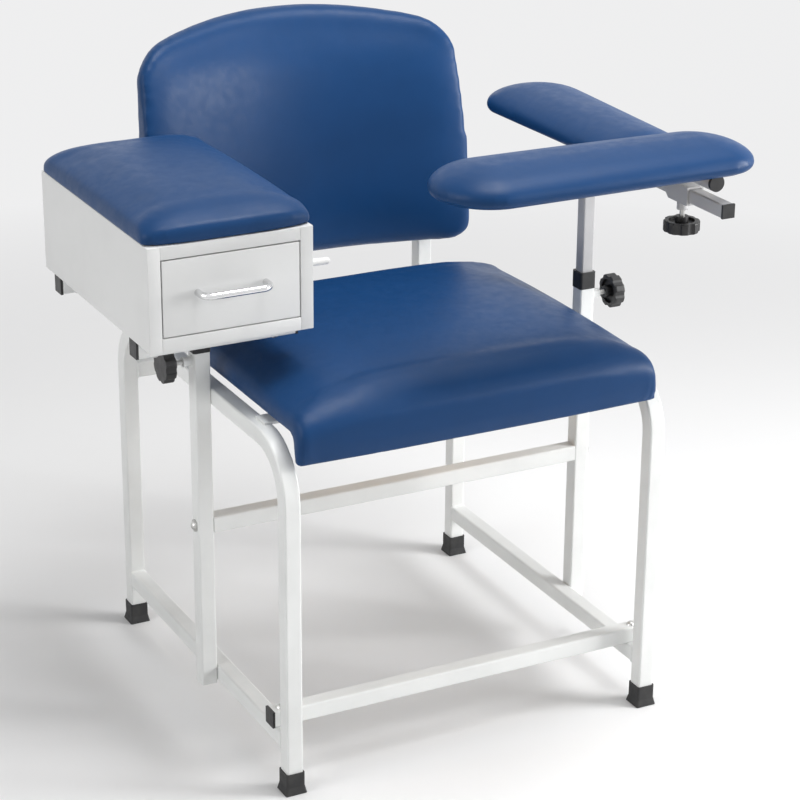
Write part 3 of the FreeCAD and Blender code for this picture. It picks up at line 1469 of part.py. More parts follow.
def offset_sketch(body, name, height):
    """A sketch parallel to a body's XY plane at a height."""
    sketch = plane_sketch(body, "XY", name)
    sketch.AttachmentOffset = Placement(Vector(0, 0, height.value), NO_TURN)
    sketch.setExpression("AttachmentOffset.Base.z", height.text)
    return sketch


def is_circle(edge, radius):
    """Whether an edge is a circle of a radius."""
    return isinstance(edge.Curve, Part.Circle) and math.isclose(edge.Curve.Radius, radius.value)


def build_knob(label, x, y, z, turn):
    """A star knob; its own Z points away from the screw, from the face of its hub."""
    body = new_body(label)
    hub = plane_sketch(body, "XY", "Hub")
    draw_circle(hub, size.knob_hub_width / 2)
    pad(body, hub, size.knob_hub_height + size.knob_thick)
    rim = offset_sketch(body, "Rim", size.knob_hub_height)
    draw_circle(rim, size.knob_width / 2)
    disc = pad(body, rim, size.knob_thick)
    doc.recompute()
    edges = enumerate(disc.Shape.Edges, start=1)
    outer = [f"Edge{index}" for index, edge in edges if is_circle(edge, size.knob_width / 2)]
    rounding = body.newObject("PartDesign::Fillet", "Rounding")
    rounding.Base = (disc, outer)
    bind(rounding, "Radius", size.knob_edge)
    scallop = offset_sketch(body, "Scallop", size.knob_hub_height)
    centre = size.knob_width / 2 + size.knob_scallop - size.knob_scallop_depth
    draw_circle(scallop, size.knob_scallop, centre, ZERO)
    notch = pocket(body, scallop, size.knob_thick)
    doc.recompute()
    pattern = body.newObject("PartDesign::PolarPattern", "Lobes")
    pattern.Originals = [notch]
    pattern.Axis = ([item for item in body.Origin.OriginFeatures if item.Role == "Z_Axis"][0], [""])
    pattern.Angle = 360
    pattern.Occurrences = KNOB_LOBES
    body.Tip = pattern
    dish = offset_sketch(body, "Dish", size.knob_hub_height)
    draw_circle(dish, size.knob_width / 2 - size.knob_dish_rim)
    draw_circle(dish, size.knob_hub_width / 2)
    pocket(body, dish, size.knob_dish_depth)
    bore = plane_sketch(body, "XY", "Bore")
    draw_circle(bore, size.clamp_screw_width / 2)
    pocket(body, bore, size.knob_bore_depth)
    return place(body, x, y, z, turn)


def build_post_knob(side):
    """A clamp screw through a post's boss, and its knob."""
    turn = Z_TO_X if side > 0 else Z_TO_MINUS_X
    tip = post_x + half_mast + size.clamp_gap
    hub = post_x + half_tube + size.boss_length + size.knob_stand_off
    length = hub - tip + size.knob_bore_depth
    screw = rod(side_name(side, "knob_screw"), size.clamp_screw_width, length)
    node(place(screw, tip * side, post_y, size.knob_height, turn), side_name(side, "knob_screw"))
    return build_knob(side_name(side, "knob_grip"), hub * side, post_y, size.knob_height, turn)


on_sides(build_post_knob)

saddle_tip = arm_rail_base - size.clamp_gap
saddle_hub = saddle_base - size.saddle_boss_length - size.saddle_knob_drop
saddle_screw_long = saddle_tip - saddle_hub + size.knob_bore_depth
saddle_screw = rod("saddle_knob_screw", size.clamp_screw_width, saddle_screw_long)
place(saddle_screw, arm_x, saddle_screw_y, saddle_tip, Z_TO_MINUS_Z)
node(saddle_screw, "saddle_knob_screw")
build_knob("saddle_knob_grip", arm_x, saddle_screw_y, saddle_hub, Z_TO_MINUS_Z)


# Checks and export
doc.recompute()
for item in doc.Objects:
    bad = [word for word in item.State if word in ("Invalid", "Error")]
    if bad:
        raise RuntimeError(f"{item.Name} failed: {item.State}")
for item in nodes:
    if item.Shape.isNull() or not item.Shape.isValid():
        raise RuntimeError(f"{item.Label} has no valid shape")
for item in nodes:
    item.Shape.exportStep(f"parts/{item.Label}.step")
print(f"{len(nodes)} sub-parts written")
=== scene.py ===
"""Looks of the phlebotomy chair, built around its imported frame.

The chair is a white powder coated tube frame with a padded seat and backrest, a side cabinet with a
padded top and one drawer, and two padded arm rests on a sliding, height adjustable grey arm. Lengths
are in metres and places are in the frame's own axes: X to the right as seen from the front, Y to the
back, Z up.
"""

import json
import logging
import math
from dataclasses import dataclass, field
from enum import Enum
from typing import Any, Callable, Optional, Sequence, Union

import bmesh
import bpy
import numpy as np
from mathutils import Matrix, Vector, noise
from mathutils.bvhtree import BVHTree

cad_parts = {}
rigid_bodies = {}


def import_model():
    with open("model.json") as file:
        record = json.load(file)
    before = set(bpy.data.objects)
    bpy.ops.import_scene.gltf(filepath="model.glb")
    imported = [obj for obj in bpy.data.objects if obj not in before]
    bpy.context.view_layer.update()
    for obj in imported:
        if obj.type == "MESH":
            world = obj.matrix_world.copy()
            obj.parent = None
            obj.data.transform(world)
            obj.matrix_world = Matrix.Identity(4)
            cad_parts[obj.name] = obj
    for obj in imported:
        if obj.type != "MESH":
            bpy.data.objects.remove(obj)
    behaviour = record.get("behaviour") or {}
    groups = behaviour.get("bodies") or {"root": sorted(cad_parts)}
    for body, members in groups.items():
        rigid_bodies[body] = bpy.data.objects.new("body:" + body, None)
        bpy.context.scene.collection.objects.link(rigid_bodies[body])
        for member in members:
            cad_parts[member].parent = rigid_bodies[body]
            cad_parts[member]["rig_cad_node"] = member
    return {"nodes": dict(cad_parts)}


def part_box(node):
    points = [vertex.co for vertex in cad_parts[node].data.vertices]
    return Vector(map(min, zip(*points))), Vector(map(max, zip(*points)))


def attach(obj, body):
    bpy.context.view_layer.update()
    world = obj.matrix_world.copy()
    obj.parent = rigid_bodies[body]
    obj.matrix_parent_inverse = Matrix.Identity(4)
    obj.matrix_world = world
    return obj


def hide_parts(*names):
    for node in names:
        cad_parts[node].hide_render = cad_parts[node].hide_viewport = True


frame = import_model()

LOG = logging.getLogger("phlebotomy_chair")
# The back's lean from upright, in degrees, as the frame has it.
BACK_LEAN = 8.5
# Shares of a smoothing step and of the step that takes back its shrinking.
FAIRING = (0.5, -0.53)
# Frames that the cloth solver runs.
SWELL_FRAMES = 20
# Edges of beads and hems sharper than these stay sharp, in degrees.
BEAD_ANGLE = 80.0
HEM_ANGLE = 50.0
# Waves in a metre of a bead's uneven radius.
BEAD_WAVES = 900.0
UPRIGHTS = ("left_back_upright", "right_back_upright")
DOWN = (0.0, 0.0, -1.0)

Point = tuple[float, float, float]
Colour = tuple[float, float, float]
Socket = bpy.types.NodeSocket


class Body(Enum):
    """The bodies of the frame that pieces ride on."""

    CHAIR = "chair"
    CABINET = "cabinet"
    DRAWER = "drawer"
    ARM = "arm"
    FRONT_ARM = "front_arm"


class Slot(Enum):
    """The record's material slots."""

    WHITE_PAINT = "white_paint"
    GREY_PAINT = "grey_paint"
    VINYL = "vinyl"
    BOARD = "board"
    LAMINATE = "laminate"
    WHITE_PLASTIC = "white_plastic"
    BLACK_PLASTIC = "black_plastic"
    RUBBER = "rubber"
    CHROME = "chrome"
    ZINC = "zinc"


class Axis(Enum):
    """The three directions of the frame."""

    X = 0
    Y = 1
    Z = 2


# Finishes


class NodeSheet:
    """A material's node tree, with short calls that add nodes and join them."""

    def __init__(self, name: str) -> None:
        """Makes an empty material with one Principled shader.

        Args:
            name: The material's name.
        """
        self.material = bpy.data.materials.new(name)
        self.material.use_nodes = True
        self.nodes = self.material.node_tree.nodes
        self.links = self.material.node_tree.links
        self.shader = self.nodes["Principled BSDF"]
        self.place = self.add("ShaderNodeTexCoord").outputs["Object"]

    def add(self, kind: str, **settings: Any) -> bpy.types.Node:
        """Adds a node.

        Args:
            kind: The node's type name.
            **settings: Attributes to set on the node.

        Returns:
            The new node.
        """
        node = self.nodes.new(kind)
        for name, value in settings.items():
            setattr(node, name, value)
        return node

    def join(self, source: Socket, target: Socket) -> None:
        """Links an output to an input."""
        self.links.new(source, target)

    def stretched(self, scale: Point) -> Socket:
        """Gives object coordinates multiplied by a scale for each axis.

        Args:
            scale: The three factors.

        Returns:
            The scaled coordinates.
        """
        mapping = self.add("ShaderNodeMapping")
        mapping.inputs["Scale"].default_value = scale
        self.join(self.place, mapping.inputs["Vector"])
        return mapping.outputs["Vector"]

    def noise(self, scale: float, detail: float = 3.0, place: Optional[Socket] = None) -> Socket:
        """Adds a noise texture.

        Args:
            scale: Waves in a metre.
            detail: Octaves.
            place: Coordinates, or None for the object's own.

        Returns:
            The noise, from 0 to 1.
        """
        texture = self.add("ShaderNodeTexNoise")
        texture.inputs["Scale"].default_value = scale
        texture.inputs["Detail"].default_value = detail
        self.join(place or self.place, texture.inputs["Vector"])
        return texture.outputs["Fac"]

    def cells(self, scale: float) -> Socket:
        """Adds a cell texture.

        Args:
            scale: Cells in a metre.

        Returns:
            The distance to the nearest cell's edge.
        """
        texture = self.add("ShaderNodeTexVoronoi", feature="DISTANCE_TO_EDGE")
        texture.inputs["Scale"].default_value = scale
        self.join(self.place, texture.inputs["Vector"])
        return texture.outputs["Distance"]

    def span(self, source: Socket, low: float, high: float, start: float, end: float) -> Socket:
        """Maps one range of numbers to another.

        Args:
            source: The numbers.
            low: Where the first range starts.
            high: Where it ends.
            start: What low becomes.
            end: What high becomes.

        Returns:
            The mapped numbers.
        """
        node = self.add("ShaderNodeMapRange")
        for name, value in (("From Min", low), ("From Max", high), ("To Min", start), ("To Max", end)):
            node.inputs[name].default_value = value
        self.join(source, node.inputs["Value"])
        return node.outputs["Result"]

    def tint(self, share: Socket, first: Colour, second: Colour) -> Socket:
        """Mixes two colours.

        Args:
            share: How much of the second.
            first: A linear colour.
            second: Another.

        Returns:
            The mixed colour.
        """
        node = self.add("ShaderNodeMix", data_type="RGBA")
        for socket in node.inputs:
            if socket.name in ("A", "B") and socket.type == "RGBA":
                socket.default_value = (*(first if socket.name == "A" else second), 1.0)
        self.join(share, node.inputs["Factor"])
        return next(s for s in node.outputs if s.type == "RGBA")

    def bump(self, height: Socket, distance: float, strength: float = 1.0,
             under: Optional[Socket] = None) -> Socket:
        """Adds a bump.

        Args:
            height: The height, from 0 to 1.
            distance: How high 1 is, in metres.
            strength: The share of it that shows.
            under: A bump that this one lies on.

        Returns:
            The bumped normal.
        """
        node = self.add("ShaderNodeBump")
        node.inputs["Distance"].default_value = distance
        node.inputs["Strength"].default_value = strength
        self.join(height, node.inputs["Height"])
        if under is not None:
            self.join(under, node.inputs["Normal"])
        return node.outputs["Normal"]

    def finish(self, colour: Socket, roughness: Socket,
               normal: Socket, **constants: float) -> bpy.types.Material:
        """Joins the shader's inputs.

        Args:
            colour: The base colour.
            roughness: The roughness.
            normal: The bumped normal.
            **constants: Values for the shader's own sockets, with underscores for spaces.

        Returns:
            The material.
        """
        self.join(colour, self.shader.inputs["Base Color"])
        self.join(roughness, self.shader.inputs["Roughness"])
        self.join(normal, self.shader.inputs["Normal"])
        for name, value in constants.items():
            self.shader.inputs[name.replace("_", " ")].default_value = value
        return self.material


@dataclass(frozen=True)
class PowderCoat:
    """Baked powder paint on steel tube: a faint orange peel, and a little dust in scattered patches."""

    name: str
    colour: Colour
    shade: Colour
    roughness: float = 0.34
    peel: float = 0.00006
    metallic: float = 0.0

    def material(self) -> bpy.types.Material:
        """Builds the paint's material."""
        sheet = NodeSheet(self.name)
        dust = sheet.span(sheet.noise(14.0, 5.0), 0.42, 0.72, 0.0, 1.0)
        peel = sheet.noise(520.0, 2.0)
        fine = sheet.bump(sheet.noise(2600.0, 2.0), self.peel * 0.25)
        return sheet.finish(
            sheet.tint(dust, self.colour, self.shade),
            sheet.span(sheet.noise(60.0, 4.0), 0.3, 0.7, self.roughness - 0.05, self.roughness + 0.06),
            sheet.bump(peel, self.peel, 0.8, fine),
            Metallic=self.metallic,
            Coat_Weight=0.12,
            Coat_Roughness=0.16,
        )


@dataclass(frozen=True)
class Vinyl:
    """Upholstery vinyl: a fine embossed grain with slack creases, and uneven in its gloss."""

    name: str
    colour: Colour
    deep: Colour
    roughness: float = 0.4
    grain: float = 0.00007

    def material(self) -> bpy.types.Material:
        """Builds the vinyl's material."""
        sheet = NodeSheet(self.name)
        cells = sheet.span(sheet.cells(760.0), 0.0, 0.35, 0.0, 1.0)
        wrinkle = sheet.noise(210.0, 6.0)
        soft = sheet.bump(sheet.noise(7.0, 1.0), 0.0004, 0.15)
        creased = sheet.bump(wrinkle, self.grain * 2.0, 0.5, soft)
        return sheet.finish(
            sheet.tint(sheet.noise(34.0, 4.0), self.deep, self.colour),
            sheet.span(sheet.noise(90.0, 5.0), 0.3, 0.7, self.roughness - 0.05, self.roughness + 0.06),
            sheet.bump(cells, self.grain, 0.75, creased),
            IOR=1.5,
            Specular_IOR_Level=0.2,
        )


@dataclass(frozen=True)
class Plywood:
    """Sanded birch plywood: long grain on the faces and thin plies."""

    name: str
    colour: Colour
    dark: Colour
    grain_axis: Axis = Axis.X

    def material(self) -> bpy.types.Material:
        """Builds the plywood's material."""
        sheet = NodeSheet(self.name)
        scale = [90.0, 90.0, 90.0]
        scale[self.grain_axis.value] = 5.0
        long_grain = sheet.noise(1.0, 8.0, sheet.stretched(tuple(scale)))
        pores = sheet.noise(4.0, 6.0, sheet.stretched(tuple(scale)))
        return sheet.finish(
            sheet.tint(sheet.span(long_grain, 0.32, 0.7, 0.0, 1.0), self.colour, self.dark),
            sheet.span(pores, 0.3, 0.7, 0.55, 0.72),
            sheet.bump(pores, 0.00015, 0.6),
        )


@dataclass(frozen=True)
class Laminate:
    """White melamine on board: a fine pressed texture and a soft sheen."""

    name: str
    colour: Colour
    shade: Colour
    roughness: float = 0.38

    def material(self) -> bpy.types.Material:
        """Builds the laminate's material."""
        sheet = NodeSheet(self.name)
        pressed = sheet.noise(1500.0, 3.0)
        handled = sheet.span(sheet.noise(9.0, 5.0), 0.45, 0.75, 0.0, 1.0)
        return sheet.finish(
            sheet.tint(handled, self.colour, self.shade),
            sheet.span(sheet.noise(45.0, 4.0), 0.3, 0.7, self.roughness - 0.04, self.roughness + 0.06),
            sheet.bump(pressed, 0.00004, 0.7),
        )


@dataclass(frozen=True)
class MouldedPlastic:
    """Moulded plastic with a spark eroded grain and lighter rubbed spots."""

    name: str
    colour: Colour
    rubbed: Colour
    roughness: float = 0.42
    grain: float = 0.00006

    def material(self) -> bpy.types.Material:
        """Builds the plastic's material."""
        sheet = NodeSheet(self.name)
        rub = sheet.span(sheet.noise(55.0, 5.0), 0.5, 0.8, 0.0, 1.0)
        return sheet.finish(
            sheet.tint(rub, self.colour, self.rubbed),
            sheet.span(sheet.noise(120.0, 3.0), 0.3, 0.7, self.roughness - 0.05, self.roughness + 0.08),
            sheet.bump(sheet.noise(1900.0, 3.0), self.grain, 0.7),
        )


@dataclass(frozen=True)
class Metal:
    """Bare or plated steel: long hairlines along one axis and a faint stain."""

    name: str
    colour: Colour
    stain: Colour
    roughness: float
    hairline: float = 0.00002
    along: Axis = Axis.X

    def material(self) -> bpy.types.Material:
        """Builds the metal's material."""
        sheet = NodeSheet(self.name)
        scale = [1400.0, 1400.0, 1400.0]
        scale[self.along.value] = 60.0
        lines = sheet.noise(1.0, 4.0, sheet.stretched(tuple(scale)))
        return sheet.finish(
            sheet.tint(sheet.span(sheet.noise(70.0, 4.0), 0.45, 0.8, 0.0, 1.0), self.colour, self.stain),
            sheet.span(lines, 0.3, 0.7, max(self.roughness - 0.05, 0.03), self.roughness + 0.07),
            sheet.bump(lines, self.hairline, 0.6),
            Metallic=1.0,
        )


Finish = Union[PowderCoat, Vinyl, Plywood, Laminate, MouldedPlastic, Metal]


class Palette:
    """The chair's finishes by the record's slots."""

    def __init__(self) -> None:
        """Builds each finish's material once."""
        finishes: dict[Slot, Finish] = {
            Slot.WHITE_PAINT: PowderCoat("white_powder_coat", (0.80, 0.81, 0.80), (0.74, 0.75, 0.74)),
            Slot.GREY_PAINT: PowderCoat("grey_powder_coat", (0.50, 0.50, 0.505), (0.44, 0.44, 0.445),
                                        0.38, 0.00005, 0.15),
            Slot.VINYL: Vinyl("navy_vinyl", (0.0062, 0.046, 0.148), (0.0050, 0.040, 0.128)),
            Slot.BOARD: Plywood("birch_plywood", (0.56, 0.39, 0.22), (0.40, 0.25, 0.12)),
            Slot.LAMINATE: Laminate("white_laminate", (0.74, 0.745, 0.74), (0.70, 0.705, 0.70)),
            Slot.WHITE_PLASTIC: MouldedPlastic("white_moulding", (0.80, 0.80, 0.79), (0.74, 0.74, 0.73),
                                               0.26, 0.00002),
            Slot.BLACK_PLASTIC: MouldedPlastic("black_moulding", (0.012, 0.012, 0.013),
                                               (0.024, 0.024, 0.025)),
            Slot.RUBBER: MouldedPlastic("black_rubber", (0.016, 0.016, 0.017), (0.035, 0.034, 0.033),
                                        0.62, 0.00012),
            Slot.CHROME: Metal("chrome_plate", (0.74, 0.74, 0.75), (0.66, 0.66, 0.67), 0.12),
            Slot.ZINC: Metal("zinc_plate", (0.56, 0.56, 0.55), (0.44, 0.44, 0.42), 0.32, 0.00004),
        }
        self.materials = {slot: finish.material() for slot, finish in finishes.items()}

    def dress(self, piece: bpy.types.Object, slot: Slot) -> None:
        """Gives a new piece the finish of its slot.

        Args:
            piece: The new piece.
            slot: The slot of its finish.
        """
        piece.data.materials.clear()
        piece.data.materials.append(self.materials[slot])

    def dress_frame(self) -> int:
        """Gives each node of the frame the finish of its own slot.

        Returns:
            How many nodes were dressed.
        """
        count = 0
        for node in frame["nodes"].values():
            for holder in node.material_slots:
                holder.material = self.materials[Slot(holder.material.name.split(".")[0])]
            count += 1
        return count


# Meshes


class MeshKit:
    """Shared ways to make a mesh and to put it on the frame."""

    @staticmethod
    def publish(name: str, shape: bmesh.types.BMesh, body: Body, slot: Slot, palette: Palette,
                smooth_angle: float = 35.0) -> bpy.types.Object:
        """Turns a bmesh into a piece that rides on a body.

        Args:
            name: The piece's name.
            shape: The bmesh, in frame coordinates.
            body: The body it rides on.
            slot: The slot of its finish.
            palette: The finishes.
            smooth_angle: Edges sharper than this stay sharp, in degrees.

        Returns:
            The piece.
        """
        mesh = bpy.data.meshes.new(name)
        bmesh.ops.recalc_face_normals(shape, faces=shape.faces)
        shape.to_mesh(mesh)
        shape.free()
        piece = bpy.data.objects.new(name, mesh)
        bpy.context.scene.collection.objects.link(piece)
        mesh.shade_smooth()
        mesh.set_sharp_from_angle(angle=math.radians(smooth_angle))
        palette.dress(piece, slot)
        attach(piece, body.value)
        return piece

    @staticmethod
    def tree(node: str) -> BVHTree:
        """Gives a search tree over a frame node's surface.

        Args:
            node: The node's name.

        Returns:
            The tree.
        """
        shape = bmesh.new()
        shape.from_mesh(frame["nodes"][node].data)
        found = BVHTree.FromBMesh(shape)
        shape.free()
        return found

    @staticmethod
    def turned(shape: bmesh.types.BMesh, profile: Sequence[tuple[float, float]], base: Vector, axis: Vector,
               sides: int = 24) -> None:
        """Adds a body of revolution, closed at both ends of its profile.

        Args:
            shape: The bmesh to add to.
            profile: Radius and height pairs, from the first end to the last.
            base: Where height zero is.
            axis: The way up.
            sides: Faces round it.
        """
        up = axis.normalized()
        side = up.orthogonal().normalized()
        front = up.cross(side)
        rings = []
        for radius, height in profile:
            middle = base + up * height
            rings.append([shape.verts.new(middle + (side * math.cos(a) + front * math.sin(a)) * radius)
                          for a in (2 * math.pi * k / sides for k in range(sides))])
        for first, second in zip(rings, rings[1:]):
            for k in range(sides):
                shape.faces.new((first[k], first[(k + 1) % sides], second[(k + 1) % sides], second[k]))
        shape.faces.new(list(reversed(rings[0])))
        shape.faces.new(rings[-1])

    @staticmethod
    def sweep(shape: bmesh.types.BMesh, path: Sequence[Vector], radius: float, closed: bool, sides: int = 8,
              ripple: float = 0.0) -> None:
        """Adds a round bead that follows a path.

        Args:
            shape: The bmesh to add to.
            path: The bead's centre line.
            radius: Its radius.
            closed: True if the path is a ring.
            sides: Corners of its section.
            ripple: How much the radius waves, as a share.
        """
        count = len(path)
        rings = []
        for i, point in enumerate(path):
            before = path[(i - 1) % count] if closed or i else point
            after = path[(i + 1) % count] if closed or i < count - 1 else point
            run = (after - before).normalized()
            last = rings[-1][1] if rings else run.orthogonal()
            side = (last - run * last.dot(run)).normalized() if rings else last.normalized()
            up = run.cross(side)
            wave = radius * (1.0 + ripple * noise.noise(point * BEAD_WAVES))
            ring = [shape.verts.new(point + (side * math.cos(a) + up * math.sin(a)) * wave)
                    for a in (2 * math.pi * k / sides for k in range(sides))]
            rings.append((ring, side))
        pairs = list(zip(rings, rings[1:])) + ([(rings[-1], rings[0])] if closed else [])
        for (first, _), (second, _) in pairs:
            offset = 0
            if second is rings[0][0] and closed:
                offset = min(range(sides), key=lambda k: (second[k].co - first[0].co).length)
            for k in range(sides):
                shape.faces.new((first[k], first[(k + 1) % sides],
                                 second[(k + 1 + offset) % sides], second[(k + offset) % sides]))
        if not closed:
            shape.faces.new(list(reversed(rings[0][0])))
            shape.faces.new(rings[-1][0])

    @staticmethod
    def box(shape: bmesh.types.BMesh, low: Vector, high: Vector, bevel: float, segments: int = 2,
            turn: Optional[Matrix] = None) -> None:
        """Adds a box with rounded edges.

        Args:
            shape: The bmesh to add to.
            low: Its lowest corner.
            high: Its highest corner.
            bevel: The radius of its edges.
            segments: Faces across an edge.
            turn: Where the box's own axes go, or None to leave them.
        """
        made = bmesh.ops.create_cube(shape, size=1.0)["verts"]
        size = high - low
        for corner in made:
            corner.co = Vector(low[i] + (corner.co[i] + 0.5) * size[i] for i in range(3))
            if turn is not None:
                corner.co = turn @ corner.co
        edges = list({edge for corner in made for edge in corner.link_edges})
        bmesh.ops.bevel(shape, geom=edges, offset=bevel, segments=segments, affect="EDGES", profile=0.5)


# Upholstery


@dataclass(frozen=True)
class Pucker:
    """Small folds that run out from a corner where the vinyl is gathered."""

    corner: Point
    reach: float
    folds: int = 7
    depth: float = 0.0006
    axis: Axis = Axis.Z

    def lift(self, place: Vector) -> float:
        """Gives how far a point moves out.

        Args:
            place: The point.

        Returns:
            The distance along its normal.
        """
        away = place - Vector(self.corner)
        share = 1.0 - away.length / self.reach
        if share <= 0.0:
            return 0.0
        flat = [away[i] for i in range(3) if i != self.axis.value]
        return self.depth * share * share * math.cos(self.folds * 2.0 * math.atan2(flat[1], flat[0]))


@dataclass
class Cushion:
    """A foam pad in tight vinyl, blown up from the frame's own solid."""

    name: str
    node: str
    body: Body
    carrier: str
    rests_towards: Point
    voxel: float = 0.0045
    pressure: float = 4.0
    most: float = 0.004
    inset: float = 0.0025
    fill: float = 0.85
    near: float = 0.003
    facing: float = 0.55
    wave: float = 0.00012
    waves_in_metre: float = 11.0
    calm: int = 30
    fair: int = 30
    puckers: Sequence[Pucker] = ()
    piece: Optional[bpy.types.Object] = field(default=None, init=False)
    rest: Optional[np.ndarray] = field(default=None, init=False)
    held: Optional[np.ndarray] = field(default=None, init=False)

    @staticmethod
    def baked(piece: bpy.types.Object) -> bpy.types.Mesh:
        """Gives a piece's mesh with its modifiers applied."""
        graph = bpy.context.evaluated_depsgraph_get()
        return bpy.data.meshes.new_from_object(piece.evaluated_get(graph))

    @staticmethod
    def points(mesh: bpy.types.Mesh, kind: str = "co") -> np.ndarray:
        """Reads a mesh's vertex places or normals.

        Args:
            mesh: The mesh.
            kind: "co" or "normal".

        Returns:
            One row for each vertex.
        """
        values = np.zeros(len(mesh.vertices) * 3)
        mesh.vertices.foreach_get(kind, values)
        return values.reshape(-1, 3)

    def settle(self, mesh: bpy.types.Mesh) -> None:
        """Puts a finished mesh on the piece in place of its own.

        Args:
            mesh: The new mesh.
        """
        self.piece.modifiers.clear()
        old = self.piece.data
        self.piece.data = mesh
        bpy.data.meshes.remove(old)

    def remesh(self) -> None:
        """Copies the frame's solid and gives it an even skin of quads."""
        copy = frame["nodes"][self.node].data.copy()
        self.piece = bpy.data.objects.new(self.name, copy)
        bpy.context.scene.collection.objects.link(self.piece)
        skin = self.piece.modifiers.new("skin", "REMESH")
        skin.mode = "VOXEL"
        skin.voxel_size = self.voxel
        self.settle(self.baked(self.piece))
        mesh = self.piece.data
        normals = self.points(mesh, "normal")
        self.rest = self.points(mesh)
        board = MeshKit.tree(self.carrier)
        touching = np.array([board.find_nearest(Vector(place))[3] < self.near for place in self.rest])
        self.held = (normals @ np.array(self.rests_towards) > self.facing) | touching
        start = self.rest - normals * self.inset * ~self.held[:, None]
        mesh.vertices.foreach_set("co", start.ravel())
        mesh.update()

    def blow_up(self) -> None:
        """Adds the cloth that swells the skin, held where it meets its board."""
        group = self.piece.vertex_groups.new(name="held")
        group.add([int(i) for i in np.flatnonzero(self.held)], 1.0, "REPLACE")
        cloth = self.piece.modifiers.new("swell", "CLOTH")
        cloth.settings.quality = 5
        cloth.settings.mass = 0.25
        cloth.settings.use_pressure = True
        cloth.settings.uniform_pressure_force = self.pressure
        cloth.settings.vertex_group_mass = group.name
        cloth.settings.effector_weights.gravity = 0.0
        cloth.settings.tension_stiffness = 22.0
        cloth.settings.compression_stiffness = 22.0
        cloth.settings.bending_stiffness = 3.0
        cloth.point_cache.frame_start = 1
        cloth.point_cache.frame_end = SWELL_FRAMES

    @staticmethod
    def spread(mesh: bpy.types.Mesh, values: np.ndarray, rounds: int, fixed: np.ndarray,
               steps: Sequence[float] = (0.5,)) -> np.ndarray:
        """Evens out values given at a mesh's vertices by sharing them along its edges.

        Args:
            mesh: The mesh.
            values: One row for each vertex.
            rounds: How many times.
            fixed: Vertices that keep their values.
            steps: The shares of the way to the neighbours' mean that each round takes in turn.

        Returns:
            The evened values.
        """
        ends = np.zeros(len(mesh.edges) * 2, dtype=np.int64)
        mesh.edges.foreach_get("vertices", ends)
        first, second = ends.reshape(-1, 2).T
        shares = np.bincount(ends, minlength=len(values)).astype(float)[:, None]
        kept = values.copy()
        for _ in range(rounds):
            for step in steps:
                sums = np.zeros_like(values)
                for column in range(values.shape[1]):
                    sums[:, column] = np.bincount(first, values[second, column], len(values))
                    sums[:, column] += np.bincount(second, values[first, column], len(values))
                values = values + step * (sums / shares - values)
                values[fixed] = kept[fixed]
        return values

    def close(self, palette: Palette) -> bpy.types.Object:
        """Keeps the swollen skin within its cap, evens it, adds its folds and puts it on its body.

        Args:
            palette: The finishes.

        Returns:
            The finished pad.
        """
        mesh = self.baked(self.piece)
        moved = self.points(mesh) - self.rest
        far = np.maximum(np.linalg.norm(moved, axis=1), 1e-9)
        moved *= (self.most * np.tanh(far / self.most) / far)[:, None]
        moved[self.held] = 0.0
        places = self.rest + self.spread(mesh, moved, self.calm, self.held)
        places = self.spread(mesh, places, self.fair, self.held, FAIRING)
        mesh.vertices.foreach_set("co", places.ravel())
        mesh.update()
        self.settle(mesh)
        finer = self.piece.modifiers.new("finer", "SUBSURF")
        finer.levels = finer.render_levels = 1
        mesh = self.baked(self.piece)
        self.settle(mesh)
        self.crease(mesh)
        mesh.shade_smooth()
        palette.dress(self.piece, Slot.VINYL)
        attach(self.piece, self.body.value)
        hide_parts(self.node)
        return self.piece

    def crease(self, mesh: bpy.types.Mesh) -> None:
        """Moves the skin by its slack waves and its folds at the corners.

        Args:
            mesh: The pad's mesh.
        """
        places = self.points(mesh)
        normals = self.points(mesh, "normal")
        free = normals @ np.array(self.rests_towards) < 0.5
        lift = np.zeros(len(places))
        for i in np.flatnonzero(free):
            place = Vector(places[i])
            slack = self.wave * noise.noise(place * self.waves_in_metre)
            lift[i] = slack + sum(pucker.lift(place) for pucker in self.puckers)
        mesh.vertices.foreach_set("co", (places + normals * lift[:, None]).ravel())
        mesh.update()


